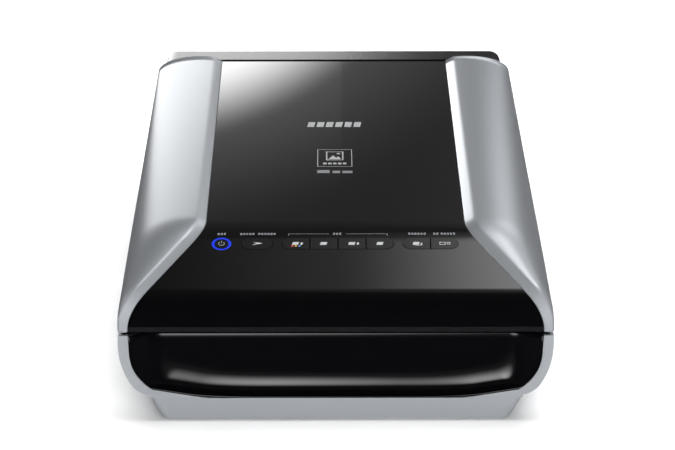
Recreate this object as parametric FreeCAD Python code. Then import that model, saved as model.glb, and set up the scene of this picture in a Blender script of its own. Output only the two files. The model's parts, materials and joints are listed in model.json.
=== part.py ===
import FreeCAD, Part

import os
from math import asin, cos, pi, radians, sin, sqrt, tan

# Flatbed scanner with a film lamp in its lid. Millimetres, +Z up, front towards -Y.
# Everything is drawn with t = distance back from the front face, and export() moves it
# so that the origin is the middle of the footprint.

# ---- overall -------------------------------------------------------------------------
WIDTH = 272.0
LENGTH = 480.0
HEIGHT = 111.0
WALL = 2.4
REVEAL = 0.2                 # gap kept between neighbouring covers
CLEAR = 0.3                  # gap kept round pieces that move past others
HALF = WIDTH / 2

# ---- base shell ----------------------------------------------------------------------
FOOT_HEIGHT = 1.5
FLOOR = 2.5
PEDESTAL_TOP_Z = 17.0
PEDESTAL_INSET_TOP = 18.5    # pedestal side, in from the overall width
PEDESTAL_INSET_BOTTOM = 26.5
PEDESTAL_CORNER = 5.0
FRONT_SETBACK = 3.0          # how far the foot of the fascia leans back
BODY_BOTTOM_Z = 18.5
BODY_SIDE_Z = 52.0           # where the upright side starts to draw in
BODY_CORNER_Z = 25.5         # where the drawn-in side meets the lower corner
BODY_CORNER_INSET = 7.7
BASE_TOP_Z = 58.5
LID_GAP = 2.5
REAR_DECK_DROP = 4.0         # deck behind the lid, lowered so that the lid can swing
REAR_DECK_LENGTH = 27.0
TRIM_DEPTH = 14.0

# ---- finger recess -------------------------------------------------------------------
FRAME_WIDTH = 6.2            # silver frame round the recess
RECESS_FLOOR_Z = 16.4
RECESS_LIP = 2.0             # level strip at the front of the recess floor
RECESS_FLOOR_RADIUS = 9.5    # floor as it starts to rise, then where it meets the back wall
RECESS_BACK_RADIUS = 15.0
RECESS_END_RUN = 8.0         # depth over which the ends are straight
RECESS_END_SLOPE = 1.2
RECESS_WALL = 1.4
RECESS_EDGE = 0.6

# ---- platen --------------------------------------------------------------------------
BED_THICKNESS = 5.0
GLASS_SIDE_MARGIN = 23.0
GLASS_FRONT = 45.0
GLASS_REAR_MARGIN = 129.0
GLASS_THICKNESS = 3.0
LEDGE_WIDTH = 4.0

# ---- carriage and its drive ----------------------------------------------------------
ROD_RADIUS = 4.0
ROD_RUNNING_FIT = 0.05
ROD_X = 58.0 - HALF
ROD_FRONT = 31.5
ROD_Z = 13.0
BUSH_RADIUS = 7.0
CARRIAGE_FRONT = 38.0
CARRIAGE_LENGTH = 60.0
CARRIAGE_BOTTOM_Z = 20.0
CARRIAGE_TOP_Z = 51.0
CARRIAGE_SIDE_MARGIN = 30.0
CARRIAGE_WALL = 2.0
RAIL_X = HALF - 46.0
RAIL_TOP_Z = 16.0
BELT_Z = 8.5
BELT_WIDTH = 4.5
BELT_THICKNESS = 1.0
PULLEY_RADIUS = 5.0
PULLEY_X = 38.0 - HALF
IDLER_T = 45.0
GEAR_REAR_MARGIN = 64.0
SHAFT_RADIUS = 1.5
SHAFT_RUNNING_FIT = 0.05
PULLEY_GEAR_RADIUS = 14.0
SMALL_GEAR_RADIUS = 5.0
LARGE_GEAR_RADIUS = 16.0
PINION_RADIUS = 4.0
TOOTH_DEPTH = 0.8
MESH_GAP = 0.2
GEAR_WIDTH = 3.0
MOTOR_RADIUS = 14.0

# ---- lid -----------------------------------------------------------------------------
CREST_RISE = 4.5             # side panels stand this far above the centre panel
NOSE_FLAT = 5.0
NOSE_RADIUS = 20.0
FRONT_SLOPE = 20.0           # degrees, the sloping front of the lid with the buttons
BEND_RADIUS = 86.0
TOP_SLOPE = 0.25             # degrees
LIP_HEIGHT = 3.2
LIP_DEPTH = 3.0
REAR_BAR_DEPTH = 24.0
REAR_BAR_INSET = 5.4
REAR_BAR_RISE = 0.8
REAR_BAR_CORNER = 8.5
BAR_GAP = 1.2
PANEL_INSET_WAIST = 0.19375 * WIDTH   # centre panel edge, in from the overall width
PANEL_INSET_BACK = 0.182 * WIDTH
FLARE_RADIUS = 28.0
RIBBON_WIDTH = 6.0
RIBBON_RISE = 3.5
SHOULDER_FRONT_Z = 67.0
SHOULDER_BACK_Z = 98.0
LID_PLATE = 2.5

# ---- hinge ---------------------------------------------------------------------------
PIVOT_ABOVE_LID = 5.0
POST_X = HALF - 51.0
POST_WIDTH = 30.0
POST_THICKNESS = 11.0
POST_FIT = 0.25
LIFT = 35.0
WELL_WALL = 1.3
KNUCKLE_WIDTH = 18.0
PIN_RADIUS = 2.5
PIN_RUNNING_FIT = 0.05
EAR_THICKNESS = 4.5

# ---- buttons -------------------------------------------------------------------------
BUTTON_ROW_T = 54.5
PILL_HEIGHT = 11.4
ROW_SCALE = WIDTH / 272.0      # the button row keeps its share of the width
SEGMENT_WIDTH = 17.9 * ROW_SCALE
AUTO_WIDTH = 20.5 * ROW_SCALE
AUTO_LEFT = -60.1 * ROW_SCALE
DOCUMENT_LEFT = -34.2 * ROW_SCALE
COPY_LEFT = 42.6 * ROW_SCALE
POWER_X = -72.6 * ROW_SCALE
POWER_RADIUS = 4.4
RING_WIDTH = 1.5
BUTTON_GAP = 0.35
BUTTON_PROUD = 0.2
BUTTON_CAP = 2.4
BUTTON_STEM = 2.0
BUTTON_TRAVEL = 0.8
SWITCH_HEIGHT = 2.7
BOARD_THICKNESS = 1.6
BOARD_DEPTH = 11.6

# ---- film lamp and document mat ------------------------------------------------------
WINDOW_HALF = 33.0
WINDOW_FRONT = 75.0
WINDOW_LENGTH = 235.0
LAMP_HOUSING_HEIGHT = 18.0
MAT_BOARD = 1.0
MAT_FOAM = 1.1
MAT_TONGUE = 3.0
MAT_GAP = 0.1
RAIL_FLANGE = 0.7

# ---- electronics ---------------------------------------------------------------------
BOARD_HALF = 50.0
BOARD_X = 10.0
BOARD_Z = 8.0
SOCKET_DEPTH = 15.0
POWER_BORE_RADIUS = 3.2
POWER_BORE_DEPTH = 10.0
POWER_PIN_RADIUS = 1.0
LOCK_T = 108.0
LOCK_TRAVEL = 6.0

# ---- derived -------------------------------------------------------------------------
LID_Z = BASE_TOP_Z + LID_GAP
FLOOR_Z = FOOT_HEIGHT + FLOOR
PANEL_BACK_Z = HEIGHT - CREST_RISE
BAR_FRONT_T = LENGTH - REAR_BAR_DEPTH
RECESS_DEPTH = (RECESS_LIP + RECESS_FLOOR_RADIUS * (sin(radians(50)) - sin(radians(5)))
                + RECESS_BACK_RADIUS * (1 - sin(radians(50))))
BED_FRONT = RECESS_DEPTH + RECESS_WALL + REVEAL
PANEL_END_T = BAR_FRONT_T - BAR_GAP
PIVOT_T = LENGTH - WALL - WELL_WALL - POST_FIT - POST_THICKNESS / 2 - 0.05
PIVOT_Z = LID_Z + PIVOT_ABOVE_LID
GLASS_HALF = HALF - GLASS_SIDE_MARGIN
GLASS_BACK = LENGTH - GLASS_REAR_MARGIN
GLASS_TOP_Z = BASE_TOP_Z - 0.1
GLASS_BOTTOM_Z = GLASS_TOP_Z - GLASS_THICKNESS
CARRIAGE_HALF = HALF - CARRIAGE_SIDE_MARGIN
CARRIAGE_TRAVEL = GLASS_BACK - GLASS_FRONT - 6.0
GEAR_T = LENGTH - GEAR_REAR_MARGIN
PILL_RADIUS = PILL_HEIGHT / 2
SLOPE_SIN = sin(radians(FRONT_SLOPE))
SLOPE_COS = cos(radians(FRONT_SLOPE))
MAT_HALF = GLASS_HALF + 0.7


def V(x, t, z):
    return FreeCAD.Vector(x, t, z)


def export(node, shape):
    placed = shape.copy()
    placed.translate(V(0, -LENGTH / 2, 0))
    placed.exportStep("parts/" + node + ".step")


def box(x0, x1, t0, t1, z0, z1):
    return Part.makeBox(x1 - x0, t1 - t0, z1 - z0, V(x0, t0, z0))


def centred_box(width, t0, t1, z0, z1):
    return box(-width / 2, width / 2, t0, t1, z0, z1)


def post(radius, x, t, z0, z1):
    return Part.makeCylinder(radius, z1 - z0, V(x, t, z0), V(0, 0, 1))


def along_x(radius, x0, x1, t, z):
    return Part.makeCylinder(radius, x1 - x0, V(x0, t, z), V(1, 0, 0))


def along_t(radius, x, t0, t1, z):
    return Part.makeCylinder(radius, t1 - t0, V(x, t0, z), V(0, 1, 0))


def mirrored(shape):
    return shape.mirror(V(0, 0, 0), V(1, 0, 0))


def both_sides(shape):
    return [shape, mirrored(shape)]


def line(a, b):
    return Part.LineSegment(a, b).toShape()


def arc(a, middle, b):
    return Part.Arc(a, middle, b).toShape()


def solid_along(edges, direction):
    return Part.Face(Part.Wire(edges)).extrude(direction)


def polygon_along(points, direction):
    return Part.Face(Part.makePolygon(points + [points[0]])).extrude(direction)


def group(solids):
    return Part.makeCompound(solids)


# ======================================================================================
# Lid outline: one chain of tangent pieces seen from the side, from the front lip back
# ======================================================================================
def lid_chain():
    """Corner points of the side profile: (t, z) where each stretch ends."""
    nose_z = LID_Z + NOSE_FLAT
    nose_end = (NOSE_RADIUS * (1 - SLOPE_SIN), nose_z + NOSE_RADIUS * SLOPE_COS)
    top_sin = sin(radians(TOP_SLOPE))
    top_cos = cos(radians(TOP_SLOPE))
    bend_t = BEND_RADIUS * (SLOPE_SIN - top_sin)
    bend_z = BEND_RADIUS * (top_cos - SLOPE_COS)
    grade = tan(radians(TOP_SLOPE))
    rise = PANEL_BACK_Z - bend_z - nose_end[1] - grade * (PANEL_END_T - nose_end[0] - bend_t)
    slope_length = rise / (SLOPE_SIN - grade * SLOPE_COS)
    slope_end = (nose_end[0] + slope_length * SLOPE_COS, nose_end[1] + slope_length * SLOPE_SIN)
    bend_end = (slope_end[0] + bend_t, slope_end[1] + bend_z)
    return nose_end, slope_end, bend_end


NOSE_END, SLOPE_END, BEND_END = lid_chain()


def lid_height(t):
    """Height of the centre panel at the distance t back from the front."""
    if t < NOSE_END[0]:
        return LID_Z + NOSE_FLAT + sqrt(max(NOSE_RADIUS ** 2 - (NOSE_RADIUS - t) ** 2, 0))
    if t < SLOPE_END[0]:
        return NOSE_END[1] + (t - NOSE_END[0]) * SLOPE_SIN / SLOPE_COS
    if t < BEND_END[0]:
        centre_t = SLOPE_END[0] + BEND_RADIUS * SLOPE_SIN
        centre_z = SLOPE_END[1] - BEND_RADIUS * SLOPE_COS
        return centre_z + sqrt(BEND_RADIUS ** 2 - (centre_t - t) ** 2)
    return BEND_END[1] + (t - BEND_END[0]) * tan(radians(TOP_SLOPE))


def lid_body(inset, bottom_z):
    """Everything under the centre panel's surface, drawn in by an inset all round."""
    x = -HALF
    nose_r = NOSE_RADIUS - inset
    bend_r = BEND_RADIUS - inset
    centre_z = LID_Z + NOSE_FLAT
    half_turn = radians((90 + FRONT_SLOPE) / 2)
    start = V(x, inset, bottom_z)
    nose_start = V(x, inset, centre_z)
    nose_mid = V(x, NOSE_RADIUS - nose_r * sin(half_turn), centre_z + nose_r * cos(half_turn))
    nose_end = V(x, NOSE_RADIUS - nose_r * SLOPE_SIN, centre_z + nose_r * SLOPE_COS)
    bend_t = SLOPE_END[0] + BEND_RADIUS * SLOPE_SIN
    bend_z = SLOPE_END[1] - BEND_RADIUS * SLOPE_COS
    bend_start = V(x, bend_t - bend_r * SLOPE_SIN, bend_z + bend_r * SLOPE_COS)
    turn = radians((FRONT_SLOPE + TOP_SLOPE) / 2)
    bend_mid = V(x, bend_t - bend_r * sin(turn), bend_z + bend_r * cos(turn))
    last = radians(TOP_SLOPE)
    bend_end = V(x, bend_t - bend_r * sin(last), bend_z + bend_r * cos(last))
    back_top = V(x, PANEL_END_T, lid_height(PANEL_END_T) - inset)
    back_bottom = V(x, PANEL_END_T, bottom_z)
    edges = [
        line(start, nose_start),
        arc(nose_start, nose_mid, nose_end),
        line(nose_end, bend_start),
        arc(bend_start, bend_mid, bend_end),
        line(bend_end, back_top),
        line(back_top, back_bottom),
        line(back_bottom, start),
    ]
    return solid_along(edges, V(WIDTH, 0, 0))


# ---- edge between the centre panel and the side panels -------------------------------
FLARE_TURN = radians(58.4)


def flare_half(z):
    """Half width of the centre panel on its sloping front, by height."""
    front_half = HALF - FRAME_WIDTH
    waist = HALF - PANEL_INSET_WAIST
    arc_end_z = LID_Z + FLARE_RADIUS * sin(FLARE_TURN)
    arc_end_x = front_half - FLARE_RADIUS * (1 - cos(FLARE_TURN))
    if z <= arc_end_z:
        angle = asin(max(z - LID_Z, 0) / FLARE_RADIUS)
        return front_half - FLARE_RADIUS * (1 - cos(angle))
    share = (z - arc_end_z) / (BEND_END[1] - arc_end_z)
    return arc_end_x + (waist - arc_end_x) * min(share, 1.0)


def panel_half(t):
    """Half width of the centre panel at the distance t back from the front."""
    if t < BEND_END[0]:
        return flare_half(lid_height(t))
    share = (t - BEND_END[0]) / (PANEL_END_T - BEND_END[0])
    return HALF - PANEL_INSET_WAIST + (PANEL_INSET_WAIST - PANEL_INSET_BACK) * share


def panel_outline(inset):
    """Solid that holds the centre panel: a flared front outline and a long back one."""
    top = HEIGHT + 1
    front_half = HALF - FRAME_WIDTH - inset
    waist = HALF - PANEL_INSET_WAIST - inset
    back = HALF - PANEL_INSET_BACK - inset
    arc_z = LID_Z + FLARE_RADIUS * sin(FLARE_TURN)
    arc_x = front_half - FLARE_RADIUS * (1 - cos(FLARE_TURN))
    mid_x = front_half - FLARE_RADIUS * (1 - cos(FLARE_TURN / 2))
    mid_z = LID_Z + FLARE_RADIUS * sin(FLARE_TURN / 2)
    edges = []
    for side in (1, -1):
        stretch = [
            line(V(0, -1, LID_Z), V(side * front_half, -1, LID_Z)),
            arc(V(side * front_half, -1, LID_Z), V(side * mid_x, -1, mid_z), V(side * arc_x, -1, arc_z)),
            line(V(side * arc_x, -1, arc_z), V(side * waist, -1, BEND_END[1])),
            line(V(side * waist, -1, BEND_END[1]), V(side * waist, -1, top)),
            line(V(side * waist, -1, top), V(0, -1, top)),
        ]
        edges += stretch if side == 1 else stretch[::-1]
    front = solid_along(Part.__sortEdges__(edges), V(0, BEND_END[0] + 1, 0))
    rear = polygon_along(
        [V(-waist, BEND_END[0], LID_Z), V(waist, BEND_END[0], LID_Z),
         V(back, PANEL_END_T, LID_Z), V(-back, PANEL_END_T, LID_Z)],
        V(0, 0, top - LID_Z))
    return front.fuse(rear)


# ---- side panels ---------------------------------------------------------------------
def shoulder_z(t):
    return SHOULDER_FRONT_Z + (SHOULDER_BACK_Z - SHOULDER_FRONT_Z) * t / PANEL_END_T


def side_section(t, inset, bottom_z):
    """Cross-section of the right side panel at t: inner wall, ribbon, crown, outer wall."""
    edge_x = panel_half(t) + inset
    edge_z = lid_height(t) - inset
    ribbon = min(RIBBON_WIDTH, HALF - panel_half(t) - 1.2)
    ribbon_x = panel_half(t) + ribbon + inset * 0.3
    ribbon_z = lid_height(t) + RIBBON_RISE * ribbon / RIBBON_WIDTH - inset
    outer_x = HALF - inset
    outer_z = min(shoulder_z(t), ribbon_z - 1.0)
    crown = Part.BezierCurve()
    crown.setPoles([
        V(ribbon_x, t, ribbon_z),
        V(ribbon_x + 0.6 * (outer_x - ribbon_x), t, ribbon_z + 0.06 * (outer_x - ribbon_x)),
        V(outer_x, t, outer_z + 0.62 * (ribbon_z - outer_z)),
        V(outer_x, t, outer_z)])
    return Part.Wire([
        line(V(edge_x, t, bottom_z), V(edge_x, t, edge_z)),
        line(V(edge_x, t, edge_z), V(ribbon_x, t, ribbon_z)),
        crown.toShape(),
        line(V(outer_x, t, outer_z), V(outer_x, t, bottom_z)),
        line(V(outer_x, t, bottom_z), V(edge_x, t, bottom_z))])


def side_loft(inset, bottom_z, stations):
    sections = [side_section(t, inset, bottom_z) for t in stations]
    return Part.makeLoft(sections, True, True)


def side_stations(front_t, back_t):
    """Close together round the nose and the bend, far apart on the straight back."""
    nose = [NOSE_END[0] * share for share in (0.0, 0.06, 0.2, 0.45, 0.75)]
    slope = [NOSE_END[0] + (SLOPE_END[0] - NOSE_END[0]) * i / 4 for i in range(5)]
    bend = [SLOPE_END[0] + (BEND_END[0] - SLOPE_END[0]) * i / 4 for i in range(1, 5)]
    inside = [t for t in nose + slope + bend if front_t + 0.5 < t < back_t - 0.5]
    return [front_t] + inside + [back_t]


def make_side_panel():
    outer = side_loft(0.0, LID_Z, side_stations(0.0, PANEL_END_T))
    hollow = side_loft(WALL, LID_Z - 1, side_stations(WALL, PANEL_END_T - WALL))
    return outer.cut(hollow).cut(panel_outline(0.0))


# ======================================================================================
# Button deck: a local frame lying on the sloping front, x across, t up the slope
# ======================================================================================
def on_deck(shape):
    placed = shape.copy()
    placed.rotate(V(0, 0, 0), V(1, 0, 0), FRONT_SLOPE)
    placed.translate(V(0, BUTTON_ROW_T, lid_height(BUTTON_ROW_T)))
    return placed


def pill(x0, x1, radius, z0, z1, round_left=True, round_right=True):
    left = x0 + radius if round_left else x0
    right = x1 - radius if round_right else x1
    shape = box(left, right, -radius, radius, z0, z1)
    if round_left:
        shape = shape.fuse(post(radius, left, 0, z0, z1))
    if round_right:
        shape = shape.fuse(post(radius, right, 0, z0, z1))
    return shape.removeSplitter()


def button_slots():
    """Every pill-shaped button: name, left edge, right edge, rounded ends."""
    slots = [("auto_scan_button", AUTO_LEFT, AUTO_LEFT + AUTO_WIDTH, True, True)]
    for i in range(4):
        left = DOCUMENT_LEFT + i * SEGMENT_WIDTH
        slots.append(("document_button_%d" % (i + 1), left, left + SEGMENT_WIDTH, i == 0, i == 3))
    for i, name in enumerate(("copy_button", "mail_button")):
        left = COPY_LEFT + i * SEGMENT_WIDTH
        slots.append((name, left, left + SEGMENT_WIDTH, i == 0, i == 1))
    return slots


def button_centres():
    return [POWER_X] + [(slot[1] + slot[2]) / 2 for slot in button_slots()]


def make_button(left, right, round_left, round_right):
    cap = pill(left + BUTTON_GAP, right - BUTTON_GAP, PILL_RADIUS - BUTTON_GAP,
               BUTTON_PROUD - BUTTON_CAP, BUTTON_PROUD, round_left, round_right)
    return cap.fuse(button_stem((left + right) / 2))


def button_stem(x):
    switch_top = BOARD_THICKNESS + SWITCH_HEIGHT - BOARD_DEPTH
    bottom = switch_top + BUTTON_TRAVEL + 0.2
    return post(BUTTON_STEM, x, 0, bottom, BUTTON_PROUD - BUTTON_CAP)


def make_buttons():
    for name, left, right, round_left, round_right in button_slots():
        export(name, on_deck(make_button(left, right, round_left, round_right)))
    cap = post(POWER_RADIUS, POWER_X, 0, BUTTON_PROUD - BUTTON_CAP, BUTTON_PROUD)
    export("power_button", on_deck(cap.fuse(button_stem(POWER_X))))
    inner = POWER_RADIUS + BUTTON_GAP
    ring = post(inner + RING_WIDTH, POWER_X, 0, -WALL - 1.0, -0.1)
    export("power_light_ring", on_deck(ring.cut(post(inner, POWER_X, 0, -WALL - 2, 1))))


def deck_openings():
    """The holes through the centre panel, one per group of buttons."""
    depth = -2 * WALL
    holes = [
        pill(AUTO_LEFT, AUTO_LEFT + AUTO_WIDTH, PILL_RADIUS, depth, 2),
        pill(DOCUMENT_LEFT, DOCUMENT_LEFT + 4 * SEGMENT_WIDTH, PILL_RADIUS, depth, 2),
        pill(COPY_LEFT, COPY_LEFT + 2 * SEGMENT_WIDTH, PILL_RADIUS, depth, 2),
        post(POWER_RADIUS + BUTTON_GAP + RING_WIDTH + 0.05, POWER_X, 0, depth, 2),
    ]
    return [on_deck(hole) for hole in holes]


def deck_bosses():
    """Posts under the centre panel that carry the button board."""
    top = -WALL + 0.4
    shapes = []
    for x in (POWER_X - 8, COPY_LEFT + 2 * SEGMENT_WIDTH + 2):
        for t in (-9.5, 9.5):
            shapes.append(on_deck(post(2.5, x, t, BOARD_THICKNESS - BOARD_DEPTH, top)))
    return shapes


def make_button_board():
    left = POWER_X - 12
    right = COPY_LEFT + 2 * SEGMENT_WIDTH + 6
    board = box(left, right, -12.5, 12.5, -BOARD_DEPTH, BOARD_THICKNESS - BOARD_DEPTH)
    export("button_board", on_deck(board))
    z0 = BOARD_THICKNESS - BOARD_DEPTH
    switches = []
    for x in button_centres():
        base = box(x - 3, x + 3, -3, 3, z0, z0 + SWITCH_HEIGHT - 0.8)
        switches.append(on_deck(base.fuse(post(1.6, x, 0, z0, z0 + SWITCH_HEIGHT))))
    export("tact_switches", group(switches))


# ======================================================================================
# Lid
# ======================================================================================
def make_centre_panel():
    shell = lid_body(0.0, LID_Z + LIP_HEIGHT + REVEAL).cut(lid_body(WALL, LID_Z))
    shell = shell.common(panel_outline(REVEAL))
    shell = shell.fuse(deck_bosses())
    return shell.cut(deck_openings())


def hinge_notch():
    """Room in the lid for one hinge post, through the whole swing."""
    half = POST_WIDTH / 2 + 1.5
    radius = POST_THICKNESS / 2 + 0.8
    return box(POST_X - half, POST_X + half, PIVOT_T - radius, LENGTH + 1, LID_Z - 1, PIVOT_Z + radius)


def rear_bar():
    """Black bar across the back of the lid, round at its two top corners."""
    half = HALF - REAR_BAR_INSET
    top = PANEL_BACK_Z + REAR_BAR_RISE
    outer = centred_box(2 * half, BAR_FRONT_T, LENGTH, LID_Z, top)
    corners = [e for e in outer.Edges if is_bar_corner(e, half, top)]
    outer = outer.makeFillet(REAR_BAR_CORNER, corners)
    inner = centred_box(2 * (half - WALL), BAR_FRONT_T + WALL, LENGTH - WALL,
                        LID_Z + LID_PLATE, top - WALL)
    inner_corners = [e for e in inner.Edges if is_bar_corner(e, half - WALL, top - WALL)]
    return outer.cut(inner.makeFillet(REAR_BAR_CORNER - WALL, inner_corners))


def is_bar_corner(edge, half, top):
    a = edge.Vertexes[0].Point
    b = edge.Vertexes[-1].Point
    on_top = abs(a.z - top) < 0.01 and abs(b.z - top) < 0.01
    return on_top and abs(abs(a.x) - half) < 0.01 and abs(a.x - b.x) < 0.01


def make_lid_frame(side_panels):
    side = HALF - WALL - REVEAL
    plate = centred_box(2 * side, LIP_DEPTH, BAR_FRONT_T, LID_Z, LID_Z + LID_PLATE)
    lip_half = HALF - FRAME_WIDTH - REVEAL
    lip = centred_box(2 * lip_half, 0.4, LIP_DEPTH, LID_Z, LID_Z + LIP_HEIGHT)
    window = centred_box(2 * WINDOW_HALF, WINDOW_FRONT, WINDOW_FRONT + WINDOW_LENGTH, LID_Z - 1, LID_Z + 9)
    frame = plate.cut(window).fuse([lip, rear_bar()]).removeSplitter().cut(side_panels)
    for shape in both_sides(hinge_notch()):
        frame = frame.cut(shape)
    return frame


def make_film_lamp():
    z0 = LID_Z + 0.6
    window = centred_box(2 * (WINDOW_HALF - REVEAL), WINDOW_FRONT + REVEAL,
                         WINDOW_FRONT + WINDOW_LENGTH - REVEAL, z0, LID_Z + LID_PLATE)
    export("film_window", window)
    half = WINDOW_HALF + 8
    front = WINDOW_FRONT - 10
    back = WINDOW_FRONT + WINDOW_LENGTH + 10
    z1 = LID_Z + LID_PLATE
    housing = centred_box(2 * half, front, back, z1, z1 + LAMP_HOUSING_HEIGHT)
    hollow = centred_box(2 * (half - 2), front + 2, back - 2, z1 - 1, z1 + LAMP_HOUSING_HEIGHT - 2)
    export("film_lamp_housing", housing.cut(hollow))


def make_lid_screws():
    screws = []
    for x in (-HALF + 14, HALF - 14):
        for t in (30.0, LENGTH / 2, PANEL_END_T - 25):
            head = post(3.0, x, t, LID_Z + LID_PLATE, LID_Z + LID_PLATE + 1.6)
            screws.append(head)
    export("lid_screws", group(screws))


def make_lid():
    export("lid_top_panel", make_centre_panel())
    right = make_side_panel()
    export("right_side_panel", right)
    export("left_side_panel", mirrored(right))
    export("lid_frame", make_lid_frame(both_sides(right)))
    make_film_lamp()
    make_lid_screws()
    make_button_board()
    make_buttons()


# ---- document mat and the rails that hold it -----------------------------------------
def make_mat():
    front = GLASS_FRONT
    back = GLASS_BACK
    top = LID_Z - MAT_GAP
    board = centred_box(2 * MAT_HALF, front, back, top - MAT_BOARD, top)
    export("mat_board", board)
    foam_half = MAT_HALF - MAT_TONGUE - CLEAR
    foam = centred_box(2 * foam_half, front, back, top - MAT_BOARD - MAT_FOAM, top - MAT_BOARD)
    export("mat_foam", foam)
    rail_z = top - MAT_BOARD - MAT_GAP - RAIL_FLANGE
    web = box(MAT_HALF + CLEAR, MAT_HALF + CLEAR + 2, front, back, rail_z, LID_Z)
    flange = box(MAT_HALF - MAT_TONGUE + CLEAR, MAT_HALF + CLEAR, front, back, rail_z, rail_z + RAIL_FLANGE)
    stop = box(MAT_HALF - MAT_TONGUE + CLEAR, MAT_HALF + CLEAR + 2, back + CLEAR, back + 2, rail_z, LID_Z)
    export("mat_rails", group(both_sides(web.fuse([flange, stop]))))


# ======================================================================================
# Hinge: two posts that slide up in wells, with the lid turning on pins through them
# ======================================================================================
def make_hinge():
    well_bottom = FLOOR_Z
    deck_z = BASE_TOP_Z - REAR_DECK_DROP
    t0 = PIVOT_T - POST_THICKNESS / 2
    t1 = PIVOT_T + POST_THICKNESS / 2
    x0 = POST_X - POST_WIDTH / 2
    x1 = POST_X + POST_WIDTH / 2
    grow = POST_FIT + WELL_WALL
    outer = box(x0 - grow, x1 + grow, t0 - grow, t1 + grow, well_bottom, deck_z - WALL)
    inner = box(x0 - POST_FIT, x1 + POST_FIT, t0 - POST_FIT, t1 + POST_FIT, well_bottom, deck_z)
    export("hinge_wells", group(both_sides(outer.cut(inner))))

    shaft = box(x0, x1, t0, t1, well_bottom + 2, BASE_TOP_Z - 1)
    k0 = POST_X - KNUCKLE_WIDTH / 2
    k1 = POST_X + KNUCKLE_WIDTH / 2
    neck = box(k0, k1, t0, t1, BASE_TOP_Z - 1, PIVOT_Z)
    knuckle = along_x(POST_THICKNESS / 2, k0, k1, PIVOT_T, PIVOT_Z)
    bore = along_x(PIN_RADIUS, k0 - 1, k1 + 1, PIVOT_T, PIVOT_Z)
    hinge_post = shaft.fuse([neck, knuckle]).removeSplitter().cut(bore)
    export("right_hinge_post", hinge_post)
    export("left_hinge_post", mirrored(hinge_post))

    reach = KNUCKLE_WIDTH / 2 + CLEAR + EAR_THICKNESS
    pin = along_x(PIN_RADIUS, POST_X - reach, POST_X + reach, PIVOT_T, PIVOT_Z)
    export("hinge_pins", group(both_sides(pin)))
    make_hinge_brackets()


def make_hinge_brackets():
    inner = KNUCKLE_WIDTH / 2 + CLEAR
    outer = inner + EAR_THICKNESS
    wall_t = BAR_FRONT_T + WALL
    z0 = LID_Z + LID_PLATE + 0.1
    plate = box(POST_X - outer, POST_X + outer, wall_t, wall_t + 1.6, z0, PIVOT_Z + 24)
    shapes = []
    for side in (-1, 1):
        low = POST_X + (inner if side == 1 else -outer)
        high = low + EAR_THICKNESS
        shapes.append(box(low, high, wall_t + 1, PIVOT_T, z0, PIVOT_Z + 4.6))
        shapes.append(along_x(4.6, low, high, PIVOT_T, PIVOT_Z))
    bracket = plate.fuse(shapes).removeSplitter()
    bore = along_x(PIN_RADIUS + PIN_RUNNING_FIT, POST_X - outer - 1, POST_X + outer + 1, PIVOT_T, PIVOT_Z)
    low_cut = box(POST_X - outer - 1, POST_X + outer + 1, PIVOT_T - 7, PIVOT_T + 7, LID_Z, PIVOT_Z - 4.6)
    export("hinge_brackets", group(both_sides(bracket.cut([bore, low_cut]))))


# ======================================================================================
# Base shell
# ======================================================================================
def body_section(inset):
    """Front view of the base above its pedestal, with a soft lower corner."""
    top_half = HALF - inset
    low_half = HALF - BODY_CORNER_INSET - inset
    foot_half = HALF - PEDESTAL_INSET_TOP - inset
    bottom = BODY_BOTTOM_Z + inset
    drop = BODY_SIDE_Z - BODY_CORNER_Z
    side_radius = (BODY_CORNER_INSET ** 2 + drop ** 2) / (2 * BODY_CORNER_INSET)
    half_turn = asin(drop / side_radius) / 2
    side_mid = V(top_half - side_radius * (1 - cos(half_turn)), 0, BODY_SIDE_Z - side_radius * sin(half_turn))
    corner_mid = V((low_half + foot_half) / 2 + 0.8, 0, (BODY_CORNER_Z + bottom) / 2 - 1.0)
    right = [
        line(V(0, 0, bottom), V(foot_half, 0, bottom)),
        arc(V(foot_half, 0, bottom), corner_mid, V(low_half, 0, BODY_CORNER_Z)),
        arc(V(low_half, 0, BODY_CORNER_Z), side_mid, V(top_half, 0, BODY_SIDE_Z)),
        line(V(top_half, 0, BODY_SIDE_Z), V(top_half, 0, BASE_TOP_Z)),
        line(V(top_half, 0, BASE_TOP_Z), V(0, 0, BASE_TOP_Z)),
    ]
    left = [mirrored(edge) for edge in right]
    return Part.Wire(Part.__sortEdges__(right + left))


def rectangle(half, t0, t1, z):
    return Part.makePolygon([V(-half, t0, z), V(half, t0, z), V(half, t1, z), V(-half, t1, z), V(-half, t0, z)])


def body_solid(inset, floor_inset):
    """The base as one lump, drawn in by an inset; the floor has its own thickness."""
    section = body_section(inset)
    section.translate(V(0, inset, 0))
    upper = Part.Face(section).extrude(V(0, LENGTH - 2 * inset, 0))
    z0 = FOOT_HEIGHT + floor_inset
    z1 = BODY_BOTTOM_Z + inset + 0.5
    share = (z0 - FOOT_HEIGHT) / (PEDESTAL_TOP_Z - FOOT_HEIGHT)
    low = HALF - PEDESTAL_INSET_BOTTOM + (PEDESTAL_INSET_BOTTOM - PEDESTAL_INSET_TOP) * share - inset
    high = HALF - PEDESTAL_INSET_TOP - inset
    front = FRONT_SETBACK * (1 - share) + inset
    back = LENGTH - inset
    lower = Part.makeLoft([rectangle(low, front, back, z0), rectangle(high, inset, back, PEDESTAL_TOP_Z)],
                          True, True)
    if inset == 0:
        uprights = [edge for edge in lower.Edges if edge.BoundBox.ZLength > 1]
        lower = lower.makeFillet(PEDESTAL_CORNER, uprights)
    neck = centred_box(2 * high, inset, back, PEDESTAL_TOP_Z, z1)
    return upper.fuse([lower, neck]).removeSplitter()


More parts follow.
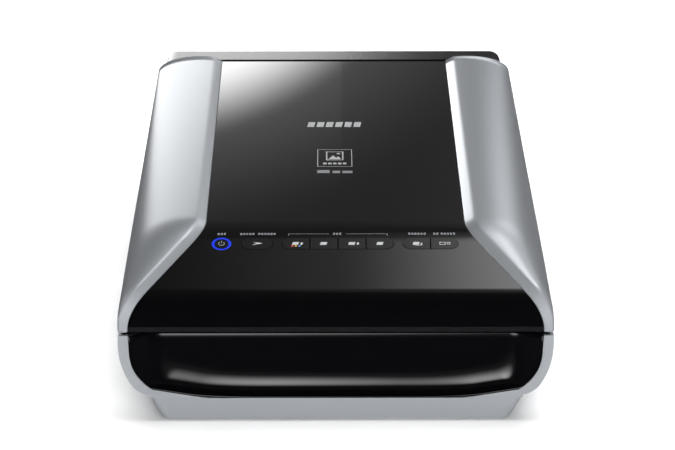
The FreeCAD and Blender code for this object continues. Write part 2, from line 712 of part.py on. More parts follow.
def recess_outline(side, rise):
    """Front view of the finger recess, open towards the lid, drawn in at its ends and its floor."""
    half = HALF - FRAME_WIDTH - side
    top = BASE_TOP_Z + 1
    floor_z = RECESS_FLOOR_Z + rise
    corner_top = V(half - 0.6, 0, 46.0)
    corner_mid = V(half - 5.1, 0, 31.6 + rise / 2)
    corner_low = V(half - 15.0, 0, floor_z + 5.6)
    flat_x = corner_low.x * 0.7
    right = [
        line(V(0, 0, top), V(half, 0, top)),
        line(V(half, 0, top), corner_top),
        arc(corner_top, corner_mid, corner_low),
        line(corner_low, V(flat_x, 0, floor_z)),
        line(V(flat_x, 0, floor_z), V(0, 0, floor_z)),
    ]
    left = [mirrored(edge) for edge in right]
    return Part.Wire(Part.__sortEdges__(right + left))


def recess_profile():
    """(depth, ends drawn in, floor raised) from the front edge of the recess to its back wall."""
    start = radians(5)
    turn = radians(50)
    floor = []
    for degrees in (5, 15, 25, 35, 43, 50):
        angle = radians(degrees)
        floor.append((RECESS_LIP + RECESS_FLOOR_RADIUS * (sin(angle) - sin(start)),
                      RECESS_FLOOR_RADIUS * (cos(start) - cos(angle))))
    turn_t, turn_rise = floor[-1]
    for degrees in (58, 66, 74, 82, 90):
        angle = radians(degrees)
        floor.append((turn_t + RECESS_BACK_RADIUS * (sin(angle) - sin(turn)),
                      turn_rise + RECESS_BACK_RADIUS * (cos(turn) - cos(angle))))
    end_radius = (RECESS_DEPTH - RECESS_END_RUN) / (1 - sin(turn))
    profile = [(0.0, 0.0, 0.0)]
    for t, rise in floor:
        side = RECESS_END_SLOPE * min(t, RECESS_END_RUN)
        if t > RECESS_END_RUN:
            angle = asin(min(sin(turn) + (t - RECESS_END_RUN) / end_radius, 1))
            side += end_radius * (cos(turn) - cos(angle))
        profile.append((t, side, rise))
    return profile


def recess_lump(stations, ruled):
    wires = []
    for t, side, rise in stations:
        wire = recess_outline(side, rise)
        wire.translate(V(0, t, 0))
        wires.append(wire)
    return Part.makeLoft(wires, True, ruled)


def make_recess():
    """A thin shell whose front edge fills the opening and whose walls follow the hollow inside."""
    edge = REVEAL + RECESS_EDGE
    inner = [(t, side + edge, rise + edge) for t, side, rise in recess_profile()]
    outer = [(0.3, REVEAL, REVEAL), (WALL + 0.2, REVEAL, REVEAL)]
    for t, side, rise in inner:
        if t > WALL:
            outer.append((t + RECESS_WALL, max(side - RECESS_WALL, REVEAL), max(rise - RECESS_WALL, REVEAL)))
    above = box(-HALF, HALF, -1, LENGTH, BASE_TOP_Z, BASE_TOP_Z + 9)
    before = box(-HALF, HALF, -1, 0.3, 0, HEIGHT)
    shell = recess_lump(outer, True).cut(recess_lump(inner, False))
    return shell.cut([above, before])


def socket_places():
    """Rear sockets: name, centre x, width, height."""
    return [("power_socket", -28.0, 11.0, 11.0), ("usb_socket", 2.0, 12.4, 11.0),
            ("film_unit_socket", 36.0, 15.0, 11.0)]


def foot_places():
    side = HALF - PEDESTAL_INSET_BOTTOM - 16.0
    return [(x, t) for x in (-side, side) for t in (FRONT_SETBACK + 26.0, LENGTH - 34.0)]


def screw_places():
    side = HALF - PEDESTAL_INSET_BOTTOM - 40.0
    return [(x, t) for x in (-side + 16, side) for t in (FRONT_SETBACK + 48.0, LENGTH / 2, LENGTH - 90.0)]


def make_case():
    shell = body_solid(0.0, 0.0).cut(body_solid(WALL, FLOOR))
    shell = shell.cut(centred_box(WIDTH - 2 * WALL, WALL, LENGTH - WALL, BASE_TOP_Z - 8, BASE_TOP_Z + 1))
    opening = recess_outline(0.0, 0.0)
    opening.translate(V(0, -1, 0))
    shell = shell.cut(Part.Face(opening).extrude(V(0, WALL + 2, 0)))
    deck_z = BASE_TOP_Z - REAR_DECK_DROP
    deck_t = LENGTH - REAR_DECK_LENGTH
    shell = shell.cut(box(-HALF, HALF, deck_t, LENGTH + 1, deck_z, BASE_TOP_Z + 1))

    front_end = box(-WIDTH, WIDTH, -1, TRIM_DEPTH, 0, HEIGHT)
    export("front_trim", shell.common(front_end))
    case = shell.cut(front_end)
    case = case.fuse(rear_deck(deck_t, deck_z))
    case = case.fuse(case_ribs()).removeSplitter()
    case = case.cut(case_holes())
    export("lower_case", case)


def rear_deck(deck_t, deck_z):
    """Low plate behind the platen that the hinge posts come up through."""
    plate = centred_box(WIDTH - 2 * WALL - 0.2, deck_t, LENGTH - 0.2, deck_z - WALL, deck_z)
    x0 = POST_X - POST_WIDTH / 2 - POST_FIT
    t0 = PIVOT_T - POST_THICKNESS / 2 - POST_FIT
    hole = box(x0, x0 + POST_WIDTH + 2 * POST_FIT, t0, t0 + POST_THICKNESS + 2 * POST_FIT, 0, HEIGHT)
    return plate.cut(both_sides(hole))


def case_ribs():
    """Rod holders, carriage rail seats, board posts and screw bosses, all part of the case."""
    end_t = CARRIAGE_FRONT + CARRIAGE_LENGTH + CARRIAGE_TRAVEL
    ribs = []
    for t in (ROD_FRONT, end_t + 3.0):
        ribs.append(box(ROD_X - 6, ROD_X + 6, t, t + 5, FLOOR_Z - 0.5, ROD_Z + ROD_RADIUS + 2))
    for x in (BOARD_X - BOARD_HALF + 4, BOARD_X + BOARD_HALF - 4):
        for t in (board_front() + 5, LENGTH - 22):
            ribs.append(post(3.0, x, t, FLOOR_Z - 0.5, BOARD_Z))
    for x, t in screw_places():
        ribs.append(post(4.5, x, t, FLOOR_Z - 0.5, FLOOR_Z + 8))
    return ribs


def case_holes():
    end_t = CARRIAGE_FRONT + CARRIAGE_LENGTH + CARRIAGE_TRAVEL
    holes = [along_t(ROD_RADIUS, ROD_X, ROD_FRONT + 1.0, end_t + 7.0, ROD_Z)]
    for x, t in screw_places():
        holes.append(post(3.2, x, t, FOOT_HEIGHT - 1, FOOT_HEIGHT + 1.8))
        holes.append(post(1.4, x, t, FOOT_HEIGHT, FLOOR_Z + 7))
    for name, x, width, height in socket_places():
        z0 = BOARD_Z + BOARD_THICKNESS
        holes.append(box(x - width / 2 - REVEAL, x + width / 2 + REVEAL, LENGTH - WALL - 1, LENGTH + 1,
                         z0 - REVEAL, z0 + height + REVEAL))
    holes.append(box(-4.5, 4.5, LOCK_T - 5.0, LOCK_T + LOCK_TRAVEL + 5.0, 0, FLOOR_Z + 0.5))
    return holes


def make_base_fittings():
    feet = [post(9.0, x, t, 0, FOOT_HEIGHT) for x, t in foot_places()]
    export("rubber_feet", group(feet))
    screws = []
    for x, t in screw_places():
        head = post(3.0, x, t, FOOT_HEIGHT + 0.3, FOOT_HEIGHT + 1.8)
        screws.append(head.fuse(post(1.4, x, t, FOOT_HEIGHT + 1.5, FLOOR_Z + 6.5)))
    export("case_screws", group(screws))
    plate = box(-9, 9, LOCK_T - 9, LOCK_T + 9, FLOOR_Z + 0.1, FLOOR_Z + 1.6)
    thumb = box(-4, 4, LOCK_T - 4, LOCK_T + 4, 0.9, FLOOR_Z + 1)
    export("lock_slider", plate.fuse(thumb).removeSplitter())


# ======================================================================================
# Platen
# ======================================================================================
def make_platen():
    bed_back = LENGTH - REAR_DECK_LENGTH - REVEAL
    side = HALF - WALL - REVEAL
    top = centred_box(2 * side, BED_FRONT, bed_back, BASE_TOP_Z - BED_THICKNESS, BASE_TOP_Z)
    pocket = centred_box(2 * (GLASS_HALF + 0.2), GLASS_FRONT - 0.2, GLASS_BACK + 0.2,
                         GLASS_BOTTOM_Z, BASE_TOP_Z + 1)
    window = centred_box(2 * (GLASS_HALF - LEDGE_WIDTH), GLASS_FRONT + LEDGE_WIDTH,
                         GLASS_BACK - LEDGE_WIDTH, 0, BASE_TOP_Z + 1)
    export("scan_bed", top.cut([pocket, window]))
    glass = centred_box(2 * GLASS_HALF, GLASS_FRONT, GLASS_BACK, GLASS_BOTTOM_Z, GLASS_TOP_Z)
    export("platen_glass", glass)
    strip_t = GLASS_FRONT + LEDGE_WIDTH
    strip = centred_box(2 * (GLASS_HALF - LEDGE_WIDTH - 1), strip_t + 0.2, strip_t + 4.2,
                        GLASS_BOTTOM_Z - 0.3, GLASS_BOTTOM_Z)
    export("calibration_strip", strip)


# ======================================================================================
# Carriage: a box with the lamp, mirrors, lens and sensor, on a rod and a rail
# ======================================================================================
def make_carriage():
    front = CARRIAGE_FRONT
    back = front + CARRIAGE_LENGTH
    outer = centred_box(2 * CARRIAGE_HALF, front, back, CARRIAGE_BOTTOM_Z, CARRIAGE_TOP_Z)
    inner = centred_box(2 * (CARRIAGE_HALF - CARRIAGE_WALL), front + CARRIAGE_WALL, back - CARRIAGE_WALL,
                        CARRIAGE_BOTTOM_Z + CARRIAGE_WALL, CARRIAGE_TOP_Z - CARRIAGE_WALL)
    slit_t = front + 10
    slit = centred_box(2 * (CARRIAGE_HALF - 6), slit_t - 3, slit_t + 3, CARRIAGE_TOP_Z - 5, CARRIAGE_TOP_Z + 1)
    strand_x = PULLEY_X + PULLEY_RADIUS + BELT_THICKNESS / 2
    belt_top = BELT_Z + BELT_WIDTH
    clamp = box(strand_x - 2.5, strand_x + 2.5, front + 24, front + 36, belt_top + 0.3, CARRIAGE_BOTTOM_Z)
    export("carriage_chassis", outer.cut([inner, slit]).fuse(clamp).removeSplitter())

    bushes = []
    for t in (front + 4, back - 14):
        ring = along_t(BUSH_RADIUS, ROD_X, t, t + 10, ROD_Z)
        saddle = box(ROD_X - 5, ROD_X + 5, t, t + 10, ROD_Z, CARRIAGE_BOTTOM_Z)
        bore = along_t(ROD_RADIUS + ROD_RUNNING_FIT, ROD_X, t - 1, t + 11, ROD_Z)
        trim = box(ROD_X - 9, ROD_X + 9, t - 1, t + 11, CARRIAGE_BOTTOM_Z, CARRIAGE_BOTTOM_Z + 5)
        bushes.append(ring.fuse(saddle).cut([bore, trim]))
    bushes.append(box(RAIL_X - 3, RAIL_X + 3, front + 23, front + 37, RAIL_TOP_Z + 0.05, CARRIAGE_BOTTOM_Z))
    export("slider_bushes", group(bushes))
    make_optics(front, back, slit_t)


def make_optics(front, back, slit_t):
    half = CARRIAGE_HALF - CARRIAGE_WALL - 1
    floor = CARRIAGE_BOTTOM_Z + CARRIAGE_WALL
    ceiling = CARRIAGE_TOP_Z - CARRIAGE_WALL
    light = centred_box(2 * (half - 6), slit_t + 5, slit_t + 12, ceiling - 5, ceiling)
    export("carriage_light_bar", light)
    mirrors = []
    for t, z, tilt, width in ((slit_t + 1, floor + 6, 45, half - 8), (back - 12, floor + 9, -40, half - 20),
                              (slit_t - 1, ceiling - 11, 38, half - 34)):
        strip = centred_box(2 * width, -5, 5, -1, 1)
        strip.rotate(V(0, 0, 0), V(1, 0, 0), tilt)
        strip.translate(V(0, t, z))
        mirrors.append(strip)
    export("carriage_mirrors", group(mirrors))
    lens_z = floor + 8.0
    lens_t = front + 26
    barrel = along_t(7.0, 0, lens_t, lens_t + 14, lens_z)
    seat = box(-7, 7, lens_t + 2, lens_t + 12, floor, lens_z)
    barrel = barrel.fuse(seat).removeSplitter()
    export("lens_barrel", barrel.cut(along_t(5.0, 0, lens_t - 1, lens_t + 2, lens_z)))
    board_t = back - CARRIAGE_WALL - 1.6
    board = box(-45, 45, board_t, board_t + 1.6, floor, ceiling - 2)
    chip = box(-20, 20, board_t - 2, board_t, lens_z - 4, lens_z + 4)
    export("sensor_board", board.fuse(chip).removeSplitter())


# ---- rod, rail, belt and gears -------------------------------------------------------
def toothed(radius, teeth, x, t, z0, z1):
    """Gear with straight-sided teeth; its radius is measured over the tips."""
    points = []
    for i in range(teeth):
        for share, r in ((-0.30, radius - TOOTH_DEPTH), (-0.14, radius), (0.14, radius),
                         (0.30, radius - TOOTH_DEPTH)):
            angle = 2 * pi * (i + share) / teeth
            points.append(V(x + r * cos(angle), t + r * sin(angle), z0))
    return polygon_along(points, V(0, 0, z1 - z0))


def gear_places():
    """Centres of the drive pulley, the compound gear and the motor pinion."""
    first = PULLEY_GEAR_RADIUS + SMALL_GEAR_RADIUS + MESH_GAP
    second = LARGE_GEAR_RADIUS + PINION_RADIUS + MESH_GAP
    angle = radians(30)
    pulley = (PULLEY_X, GEAR_T)
    compound = (pulley[0] + first * cos(angle), pulley[1] + first * sin(angle))
    motor = (compound[0] + second, compound[1])
    return pulley, compound, motor


def make_drive():
    pulley, compound, motor = gear_places()
    bore = SHAFT_RADIUS + SHAFT_RUNNING_FIT
    plate_z = FLOOR_Z + 0.1
    plate_top = plate_z + 1.4
    belt_top = BELT_Z + BELT_WIDTH
    low_z = belt_top + 1.5
    low_top = low_z + GEAR_WIDTH
    high_z = low_top + 1.0
    high_top = high_z + GEAR_WIDTH

    wheel = post(PULLEY_RADIUS, pulley[0], pulley[1], plate_top + 0.3, low_z)
    flange = post(PULLEY_RADIUS + 1.6, pulley[0], pulley[1], belt_top + 0.2, belt_top + 1.0)
    gear = toothed(PULLEY_GEAR_RADIUS, 36, pulley[0], pulley[1], low_z, low_top)
    hole = post(bore, pulley[0], pulley[1], 0, HEIGHT)
    export("drive_pulley", wheel.fuse([flange, gear]).cut(hole))

    small = toothed(SMALL_GEAR_RADIUS, 13, compound[0], compound[1], low_z - 0.3, high_z)
    large = toothed(LARGE_GEAR_RADIUS, 40, compound[0], compound[1], high_z, high_top)
    hole = post(bore, compound[0], compound[1], 0, HEIGHT)
    export("compound_gear", small.fuse(large).cut(hole))

    can_top = high_z - 1.0
    can = post(MOTOR_RADIUS, motor[0], motor[1], plate_top, can_top)
    spindle = post(SHAFT_RADIUS, motor[0], motor[1], can_top, high_top + 1)
    export("stepper_motor", can.fuse(spindle))
    pinion = toothed(PINION_RADIUS, 10, motor[0], motor[1], high_z, high_top)
    export("motor_pinion", pinion.cut(post(bore, motor[0], motor[1], 0, HEIGHT)))

    idler_wheel = post(PULLEY_RADIUS, PULLEY_X, IDLER_T, plate_top + 0.3, belt_top + 0.3)
    idler_flange = post(PULLEY_RADIUS + 1.6, PULLEY_X, IDLER_T, belt_top + 0.2, belt_top + 1.0)
    hole = post(bore, PULLEY_X, IDLER_T, 0, HEIGHT)
    export("idler_pulley", idler_wheel.fuse(idler_flange).cut(hole))

    front = min(place[1] for place in (pulley, compound, motor)) - 8
    back = max(place[1] for place in (pulley, compound, motor)) + 12
    plate = box(PULLEY_X - 8, motor[0] + MOTOR_RADIUS, front, back, plate_z, plate_top)
    shafts = [post(SHAFT_RADIUS, p[0], p[1], plate_top - 0.5, high_top + 1) for p in (pulley, compound)]
    export("gear_bracket", plate.fuse(shafts).removeSplitter())

    slide = box(PULLEY_X - 7, PULLEY_X + 7, IDLER_T - 6, IDLER_T + 12, plate_z, plate_top)
    shaft = post(SHAFT_RADIUS, PULLEY_X, IDLER_T, plate_top - 0.5, belt_top + 2)
    hook = box(PULLEY_X - 2, PULLEY_X + 2, IDLER_T + 10, IDLER_T + 12, plate_top - 0.5, plate_top + 3)
    export("idler_bracket", slide.fuse([shaft, hook]).removeSplitter())
    spring = along_t(1.5, PULLEY_X, IDLER_T + 12, IDLER_T + 28, plate_z + 3)
    anchor = box(PULLEY_X - 2, PULLEY_X + 2, IDLER_T + 28, IDLER_T + 30, plate_z, plate_z + 5)
    export("tension_spring", spring.fuse(anchor).removeSplitter())

    outer = belt_loop(PULLEY_RADIUS + 0.05 + BELT_THICKNESS)
    export("drive_belt", outer.cut(belt_loop(PULLEY_RADIUS + 0.05)))


def belt_loop(radius):
    ends = [post(radius, PULLEY_X, t, BELT_Z, BELT_Z + BELT_WIDTH) for t in (IDLER_T, GEAR_T)]
    strands = box(PULLEY_X - radius, PULLEY_X + radius, IDLER_T, GEAR_T, BELT_Z, BELT_Z + BELT_WIDTH)
    return strands.fuse(ends).removeSplitter()


def make_guides():
    end_t = CARRIAGE_FRONT + CARRIAGE_LENGTH + CARRIAGE_TRAVEL
    export("guide_rod", along_t(ROD_RADIUS, ROD_X, ROD_FRONT + 1.0, end_t + 7.0, ROD_Z))
    rail = box(RAIL_X - 4, RAIL_X + 4, ROD_FRONT + 1.5, end_t + 6, FLOOR_Z, RAIL_TOP_Z)
    export("carriage_rail", rail)


# ======================================================================================
# Electronics at the back of the base
# ======================================================================================
def board_front():
    return LENGTH - 74.0


def make_electronics():
    left = BOARD_X - BOARD_HALF
    right = BOARD_X + BOARD_HALF
    top = BOARD_Z + BOARD_THICKNESS
    export("main_board", box(left, right, board_front(), LENGTH - 6, BOARD_Z, top))
    chips = [
        box(left + 8, left + 30, board_front() + 14, board_front() + 36, top, top + 2.2),
        box(left + 40, left + 56, board_front() + 16, board_front() + 28, top, top + 1.6),
        box(left + 62, left + 88, board_front() + 2, board_front() + 8, top, top + 4.0),
        post(4.0, right - 12, board_front() + 30, top, top + 10),
        post(4.0, right - 22, board_front() + 30, top, top + 10),
    ]
    export("board_components", group(chips))
    for name, x, width, height in socket_places():
        export(name, make_socket(name, x, width, height, top))
    cable_x = left + 75
    strip = box(cable_x - 9, cable_x + 9, LENGTH / 2, board_front() - 1, FLOOR_Z, FLOOR_Z + 0.5)
    riser = box(cable_x - 9, cable_x + 9, board_front() - 1.5, board_front() - 1, FLOOR_Z, top + 2)
    bridge = box(cable_x - 9, cable_x + 9, board_front() - 1.5, board_front() + 2, top + 1.5, top + 2)
    export("flat_cable", strip.fuse([riser, bridge]).removeSplitter())


def make_socket(name, x, width, height, z0):
    body = box(x - width / 2, x + width / 2, LENGTH - SOCKET_DEPTH, LENGTH, z0, z0 + height)
    z = z0 + height / 2
    if name == "power_socket":
        bore = along_t(POWER_BORE_RADIUS, x, LENGTH - POWER_BORE_DEPTH, LENGTH + 1, z)
        pin = along_t(POWER_PIN_RADIUS, x, LENGTH - POWER_BORE_DEPTH, LENGTH - 1.5, z)
        export("power_pin", pin)
        return body.cut(bore)
    cavity = box(x - width / 2 + 1.2, x + width / 2 - 1.2, LENGTH - 11, LENGTH + 1, z0 + 1.2, z0 + height - 1.2)
    tongue_half = width / 2 - 3.4
    tongue_z = z0 + height - 4.2
    tongue = box(x - tongue_half, x + tongue_half, LENGTH - 12, LENGTH - 2.5, tongue_z, tongue_z + 1.6)
    return body.cut(cavity).fuse(tongue)


def main():
    os.makedirs("parts", exist_ok=True)
    make_case()
    export("finger_recess", make_recess())
    make_base_fittings()
    make_platen()
    make_guides()
    make_carriage()
    make_drive()
    make_electronics()
    make_hinge()
    make_lid()
    make_mat()


main()
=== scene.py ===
import json
import math

import bpy
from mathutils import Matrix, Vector


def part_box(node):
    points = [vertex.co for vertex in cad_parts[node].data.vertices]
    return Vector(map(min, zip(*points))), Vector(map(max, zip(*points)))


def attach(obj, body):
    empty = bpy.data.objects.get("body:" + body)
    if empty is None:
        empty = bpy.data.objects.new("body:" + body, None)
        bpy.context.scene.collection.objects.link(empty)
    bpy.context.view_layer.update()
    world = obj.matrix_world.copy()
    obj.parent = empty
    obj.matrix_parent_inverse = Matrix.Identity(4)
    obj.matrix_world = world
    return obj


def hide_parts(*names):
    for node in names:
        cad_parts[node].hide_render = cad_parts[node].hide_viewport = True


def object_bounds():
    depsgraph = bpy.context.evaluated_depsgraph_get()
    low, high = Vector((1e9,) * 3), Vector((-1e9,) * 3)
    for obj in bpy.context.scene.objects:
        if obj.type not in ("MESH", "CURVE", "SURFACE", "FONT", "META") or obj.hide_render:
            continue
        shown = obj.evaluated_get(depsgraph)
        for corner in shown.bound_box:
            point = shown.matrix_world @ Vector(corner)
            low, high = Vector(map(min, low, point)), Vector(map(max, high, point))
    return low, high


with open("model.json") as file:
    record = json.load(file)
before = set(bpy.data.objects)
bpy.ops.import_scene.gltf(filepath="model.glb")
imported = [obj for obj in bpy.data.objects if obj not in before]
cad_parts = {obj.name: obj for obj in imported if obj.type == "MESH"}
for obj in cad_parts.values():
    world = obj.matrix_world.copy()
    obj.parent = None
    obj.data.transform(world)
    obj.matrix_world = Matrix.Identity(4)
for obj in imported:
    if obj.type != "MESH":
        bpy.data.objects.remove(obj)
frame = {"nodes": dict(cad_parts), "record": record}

# A flatbed scanner with a film lamp in its lid. Sizes below are in millimetres and turn
# into metres where a mesh is made. t is the distance back from the front of the scanner.

MM = 0.001
CAD_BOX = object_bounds()
HALF_WIDTH = CAD_BOX[1][0] / MM
LENGTH = (CAD_BOX[1][1] - CAD_BOX[0][1]) / MM

# ---- lid outline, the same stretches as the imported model's ---------------------------
LID_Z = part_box("lid_frame")[0][2] / MM
PANEL_END_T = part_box("lid_top_panel")[1][1] / MM + LENGTH / 2
PANEL_BACK_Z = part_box("lid_top_panel")[1][2] / MM
NOSE_FLAT = 5.0
NOSE_RADIUS = 20.0
FRONT_SLOPE = math.radians(20.0)
BEND_RADIUS = 86.0
TOP_SLOPE = math.radians(0.25)
PANEL_INSET_FRONT = 6.2
PANEL_INSET_WAIST = 52.7
PANEL_INSET_BACK = 49.5
FLARE_RADIUS = 28.0
FLARE_TURN = math.radians(58.4)
RIBBON_WIDTH = 6.0
RIBBON_RISE = 3.5
SHOULDER_FRONT_Z = 67.0
SHOULDER_BACK_Z = 98.0
LIP_STEPS = 4
NOSE_STEPS = 16
SLOPE_STEPS = 12
BEND_STEPS = 12
TOP_STEPS = 32

# ---- button row ----------------------------------------------------------------------
ROW_T = 54.5
SEGMENT_WIDTH = 17.9
POWER_X = -72.6
AUTO_LEFT = -60.1
AUTO_WIDTH = 20.5
DOCUMENT_LEFT = -34.2
COPY_LEFT = 42.6
CAP_PROUD = 0.2


# ======================================================================================
# Small helpers
# ======================================================================================
def place(x, t, z):
    """A point in metres from millimetres, with t measured from the front."""
    return Vector((x * MM, (t - LENGTH / 2) * MM, z * MM))


def mix(a, b, share):
    """The value a share of the way from a to b."""
    return a + (b - a) * share


def smooth_step(share):
    """The share held between 0 and 1, with an easy start and end."""
    share = min(max(share, 0.0), 1.0)
    return share * share * (3 - 2 * share)


def add_object(name, data):
    """A new object holding data, linked into the scene."""
    thing = bpy.data.objects.new(name, data)
    bpy.context.scene.collection.objects.link(thing)
    return thing


def new_piece(name, mesh, body, material, smooth=True):
    """A visible piece that rides on a body and is listed under a material slot."""
    piece = add_object(name, mesh)
    mesh.materials.append(material)
    for face in mesh.polygons:
        face.use_smooth = smooth
    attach(piece, body)
    return piece


def mesh_from(name, points, faces):
    """A mesh of these points and faces."""
    mesh = bpy.data.meshes.new(name)
    mesh.from_pydata([tuple(point) for point in points], [], faces)
    mesh.validate()
    mesh.update()
    return mesh


def skin(rows):
    """Points and quads of a surface drawn through rows of equal length."""
    count = len(rows[0])
    points = [point for row in rows for point in row]
    faces = []
    for i in range(len(rows) - 1):
        for j in range(count - 1):
            a = i * count + j
            faces.append((a, a + count, a + count + 1, a + 1))
    return points, faces


def last_row(rows):
    """Point numbers of the last row of a skin, for the face that closes it."""
    return range((len(rows) - 1) * len(rows[0]), len(rows) * len(rows[0]))


# ======================================================================================
# Materials
# ======================================================================================
def srgb(hex_colour):
    """Linear colour from a hex value as it looks on a screen."""
    channels = [int(hex_colour[i:i + 2], 16) / 255 for i in (0, 2, 4)]
    linear = [c / 12.92 if c <= 0.04045 else ((c + 0.055) / 1.055) ** 2.4 for c in channels]
    return (*linear, 1.0)


def add(tree, kind, settings=None, links=None):
    """One node, with its sockets set by name and linked from (node, output) pairs."""
    node = tree.nodes.new(kind)
    for key, value in (settings or {}).items():
        if isinstance(key, int) or key in node.inputs:
            node.inputs[key].default_value = value
        else:
            setattr(node, key, value)
    for key, (source, output) in (links or {}).items():
        tree.links.new(source.outputs[output], node.inputs[key])
    return node


def start_material(name):
    """A material with an empty node tree."""
    material = bpy.data.materials.new(name)
    material.use_nodes = True
    tree = material.node_tree
    tree.nodes.clear()
    return material, tree


def finish_material(tree, shader):
    """The last node of a material, fed by its shader."""
    add(tree, "ShaderNodeOutputMaterial", links={"Surface": (shader, 0)})


def grain(tree, size_mm):
    """Noise whose lumps are about size_mm across, in the object's own space."""
    coords = add(tree, "ShaderNodeTexCoord")
    return add(tree, "ShaderNodeTexNoise", {"Scale": 1.0 / (size_mm * MM), "Detail": 2.0},
               {"Vector": (coords, "Object")})


def varied_colour(tree, noise, dark, light):
    """The noise turned into a soft mix of two close colours."""
    ramp = add(tree, "ShaderNodeValToRGB", links={"Fac": (noise, "Fac")})
    ramp.color_ramp.elements[0].position = 0.3
    ramp.color_ramp.elements[1].position = 0.7
    ramp.color_ramp.elements[0].color = srgb(dark)
    ramp.color_ramp.elements[1].color = srgb(light)
    return ramp


def rough_patch(tree, noise, low, high):
    """The noise turned into a roughness between low and high."""
    return add(tree, "ShaderNodeMapRange", {"To Min": low, "To Max": high}, {"Value": (noise, "Fac")})


def relief(tree, noise, depth_mm, strength):
    """The noise turned into a slight unevenness that bends reflections."""
    return add(tree, "ShaderNodeBump", {"Strength": strength, "Distance": depth_mm * MM},
               {"Height": (noise, "Fac")})


def surface(name, dark, light, grain_mm, relief_mm, rough, strength, settings):
    """A finish with a fine grain that varies its colour, its roughness and its relief."""
    material, tree = start_material(name)
    noise = grain(tree, grain_mm)
    colour = varied_colour(tree, noise, dark, light)
    roughness = rough_patch(tree, noise, rough[0], rough[1])
    bump = relief(tree, noise, relief_mm, strength)
    shader = add(tree, "ShaderNodeBsdfPrincipled", settings,
                 {"Base Color": (colour, "Color"), "Roughness": (roughness, "Result"),
                  "Normal": (bump, "Normal")})
    finish_material(tree, shader)
    return material


# Grain sizes are real ones except where a finish is finer than a tenth of a millimetre: paint
# flake, moulding texture, grinding marks and ink. Those are drawn about half a millimetre
# across, as coarse as they need to be to show.
def silver_lacquered_abs():
    """Sprayed aluminium-flake lacquer over ABS: a soft sheen that sparkles very finely."""
    return surface("silver_lacquered_abs", "B5B9BE", "C1C5CA", grain_mm=0.45, relief_mm=0.004,
                   rough=(0.34, 0.42), strength=0.25,
                   settings={"Metallic": 0.62, "Specular IOR Level": 0.3})


def silver_paint_with_painted_shade():
    """The lid's silver paint on the base, made a darker, duller grey with a fine texture: painted shade
    for the dimmer light on the base.
    """
    return surface("silver_paint_with_painted_shade", "9A9DA2", "A6A9AE", grain_mm=0.5, relief_mm=0.02,
                   rough=(0.42, 0.52), strength=0.5, settings={"Metallic": 0.3})


def piano_black_lacquer():
    """Black ABS under clear lacquer, polished: deep mirror gloss with faint orange peel."""
    return surface("piano_black_lacquer", "030304", "040405", grain_mm=9.0, relief_mm=0.003,
                   rough=(0.05, 0.07), strength=0.08,
                   settings={"Specular IOR Level": 0.0, "Coat Weight": 1.0, "Coat Roughness": 0.04,
                             "Coat IOR": 1.5})


def satin_black_abs():
    """Black ABS moulded against a fine texture: dark grey where light grazes it."""
    return surface("satin_black_abs", "0F0F11", "151517", grain_mm=0.5, relief_mm=0.006,
                   rough=(0.22, 0.30), strength=0.2, settings={"Specular IOR Level": 0.15})


def button_black_abs():
    """Black ABS caps with a light polish: softer reflections than the panel round them."""
    return surface("button_black_abs", "101012", "161618", grain_mm=0.4, relief_mm=0.01,
                   rough=(0.20, 0.26), strength=0.3, settings={"Specular IOR Level": 0.28})


def blue_lit_light_guide():
    """Clear polycarbonate ring lit from below by blue diodes: an even blue glow."""
    material, tree = start_material("blue_lit_light_guide")
    noise = grain(tree, 3.0)
    colour = varied_colour(tree, noise, "1030F0", "2858FF")
    shader = add(tree, "ShaderNodeBsdfPrincipled",
                 {"Base Color": srgb("0A1E9E"), "Roughness": 0.25, "Emission Strength": 0.5},
                 {"Emission Color": (colour, "Color")})
    finish_material(tree, shader)
    return material


def float_glass():
    """Polished float glass, faintly green: clear from above, darker at its edges."""
    material, tree = start_material("float_glass")
    noise = grain(tree, 40.0)
    roughness = rough_patch(tree, noise, 0.0, 0.01)
    shader = add(tree, "ShaderNodeBsdfPrincipled",
                 {"Base Color": srgb("EEF6F2"), "Transmission Weight": 1.0, "IOR": 1.52},
                 {"Roughness": (roughness, "Result")})
    finish_material(tree, shader)
    return material


def ground_steel():
    """Centreless-ground steel rod: bright, with the finest grinding grain."""
    return surface("ground_steel", "B9BABB", "C6C7C8", grain_mm=0.6, relief_mm=0.003,
                   rough=(0.14, 0.22), strength=0.3, settings={"Metallic": 1.0})


def zinc_plated_steel():
    """Pressed sheet with bright zinc: cool grey with a patchy sheen."""
    return surface("zinc_plated_steel", "A3A6A8", "B6B9BA", grain_mm=4.0, relief_mm=0.006,
                   rough=(0.28, 0.40), strength=0.3, settings={"Metallic": 1.0})


def natural_acetal():
    """Unpigmented acetal gears: milky, warm white and slightly waxy."""
    return surface("natural_acetal", "E4DFD2", "ECE8DD", grain_mm=2.0, relief_mm=0.006,
                   rough=(0.32, 0.40), strength=0.3,
                   settings={"IOR": 1.48, "Subsurface Weight": 0.1,
                             "Subsurface Radius": (0.002, 0.002, 0.0015)})


def ribbed_belt_rubber():
    """Neoprene timing belt: dull black with a soft, uneven skin."""
    return surface("ribbed_belt_rubber", "121213", "1B1B1C", grain_mm=0.6, relief_mm=0.05,
                   rough=(0.65, 0.8), strength=0.6, settings={"IOR": 1.5})


def soft_foot_rubber():
    """Soft black rubber with a dusty bloom."""
    return surface("soft_foot_rubber", "1D1D1E", "2A2A2B", grain_mm=1.2, relief_mm=0.04,
                   rough=(0.7, 0.85), strength=0.6, settings={"IOR": 1.5})


def white_mat_sheet():
    """White polyester sheet on the document mat: clean and faintly glossy."""
    return surface("white_mat_sheet", "E9E9E6", "F1F1EF", grain_mm=1.5, relief_mm=0.006,
                   rough=(0.35, 0.45), strength=0.3, settings={"IOR": 1.5})


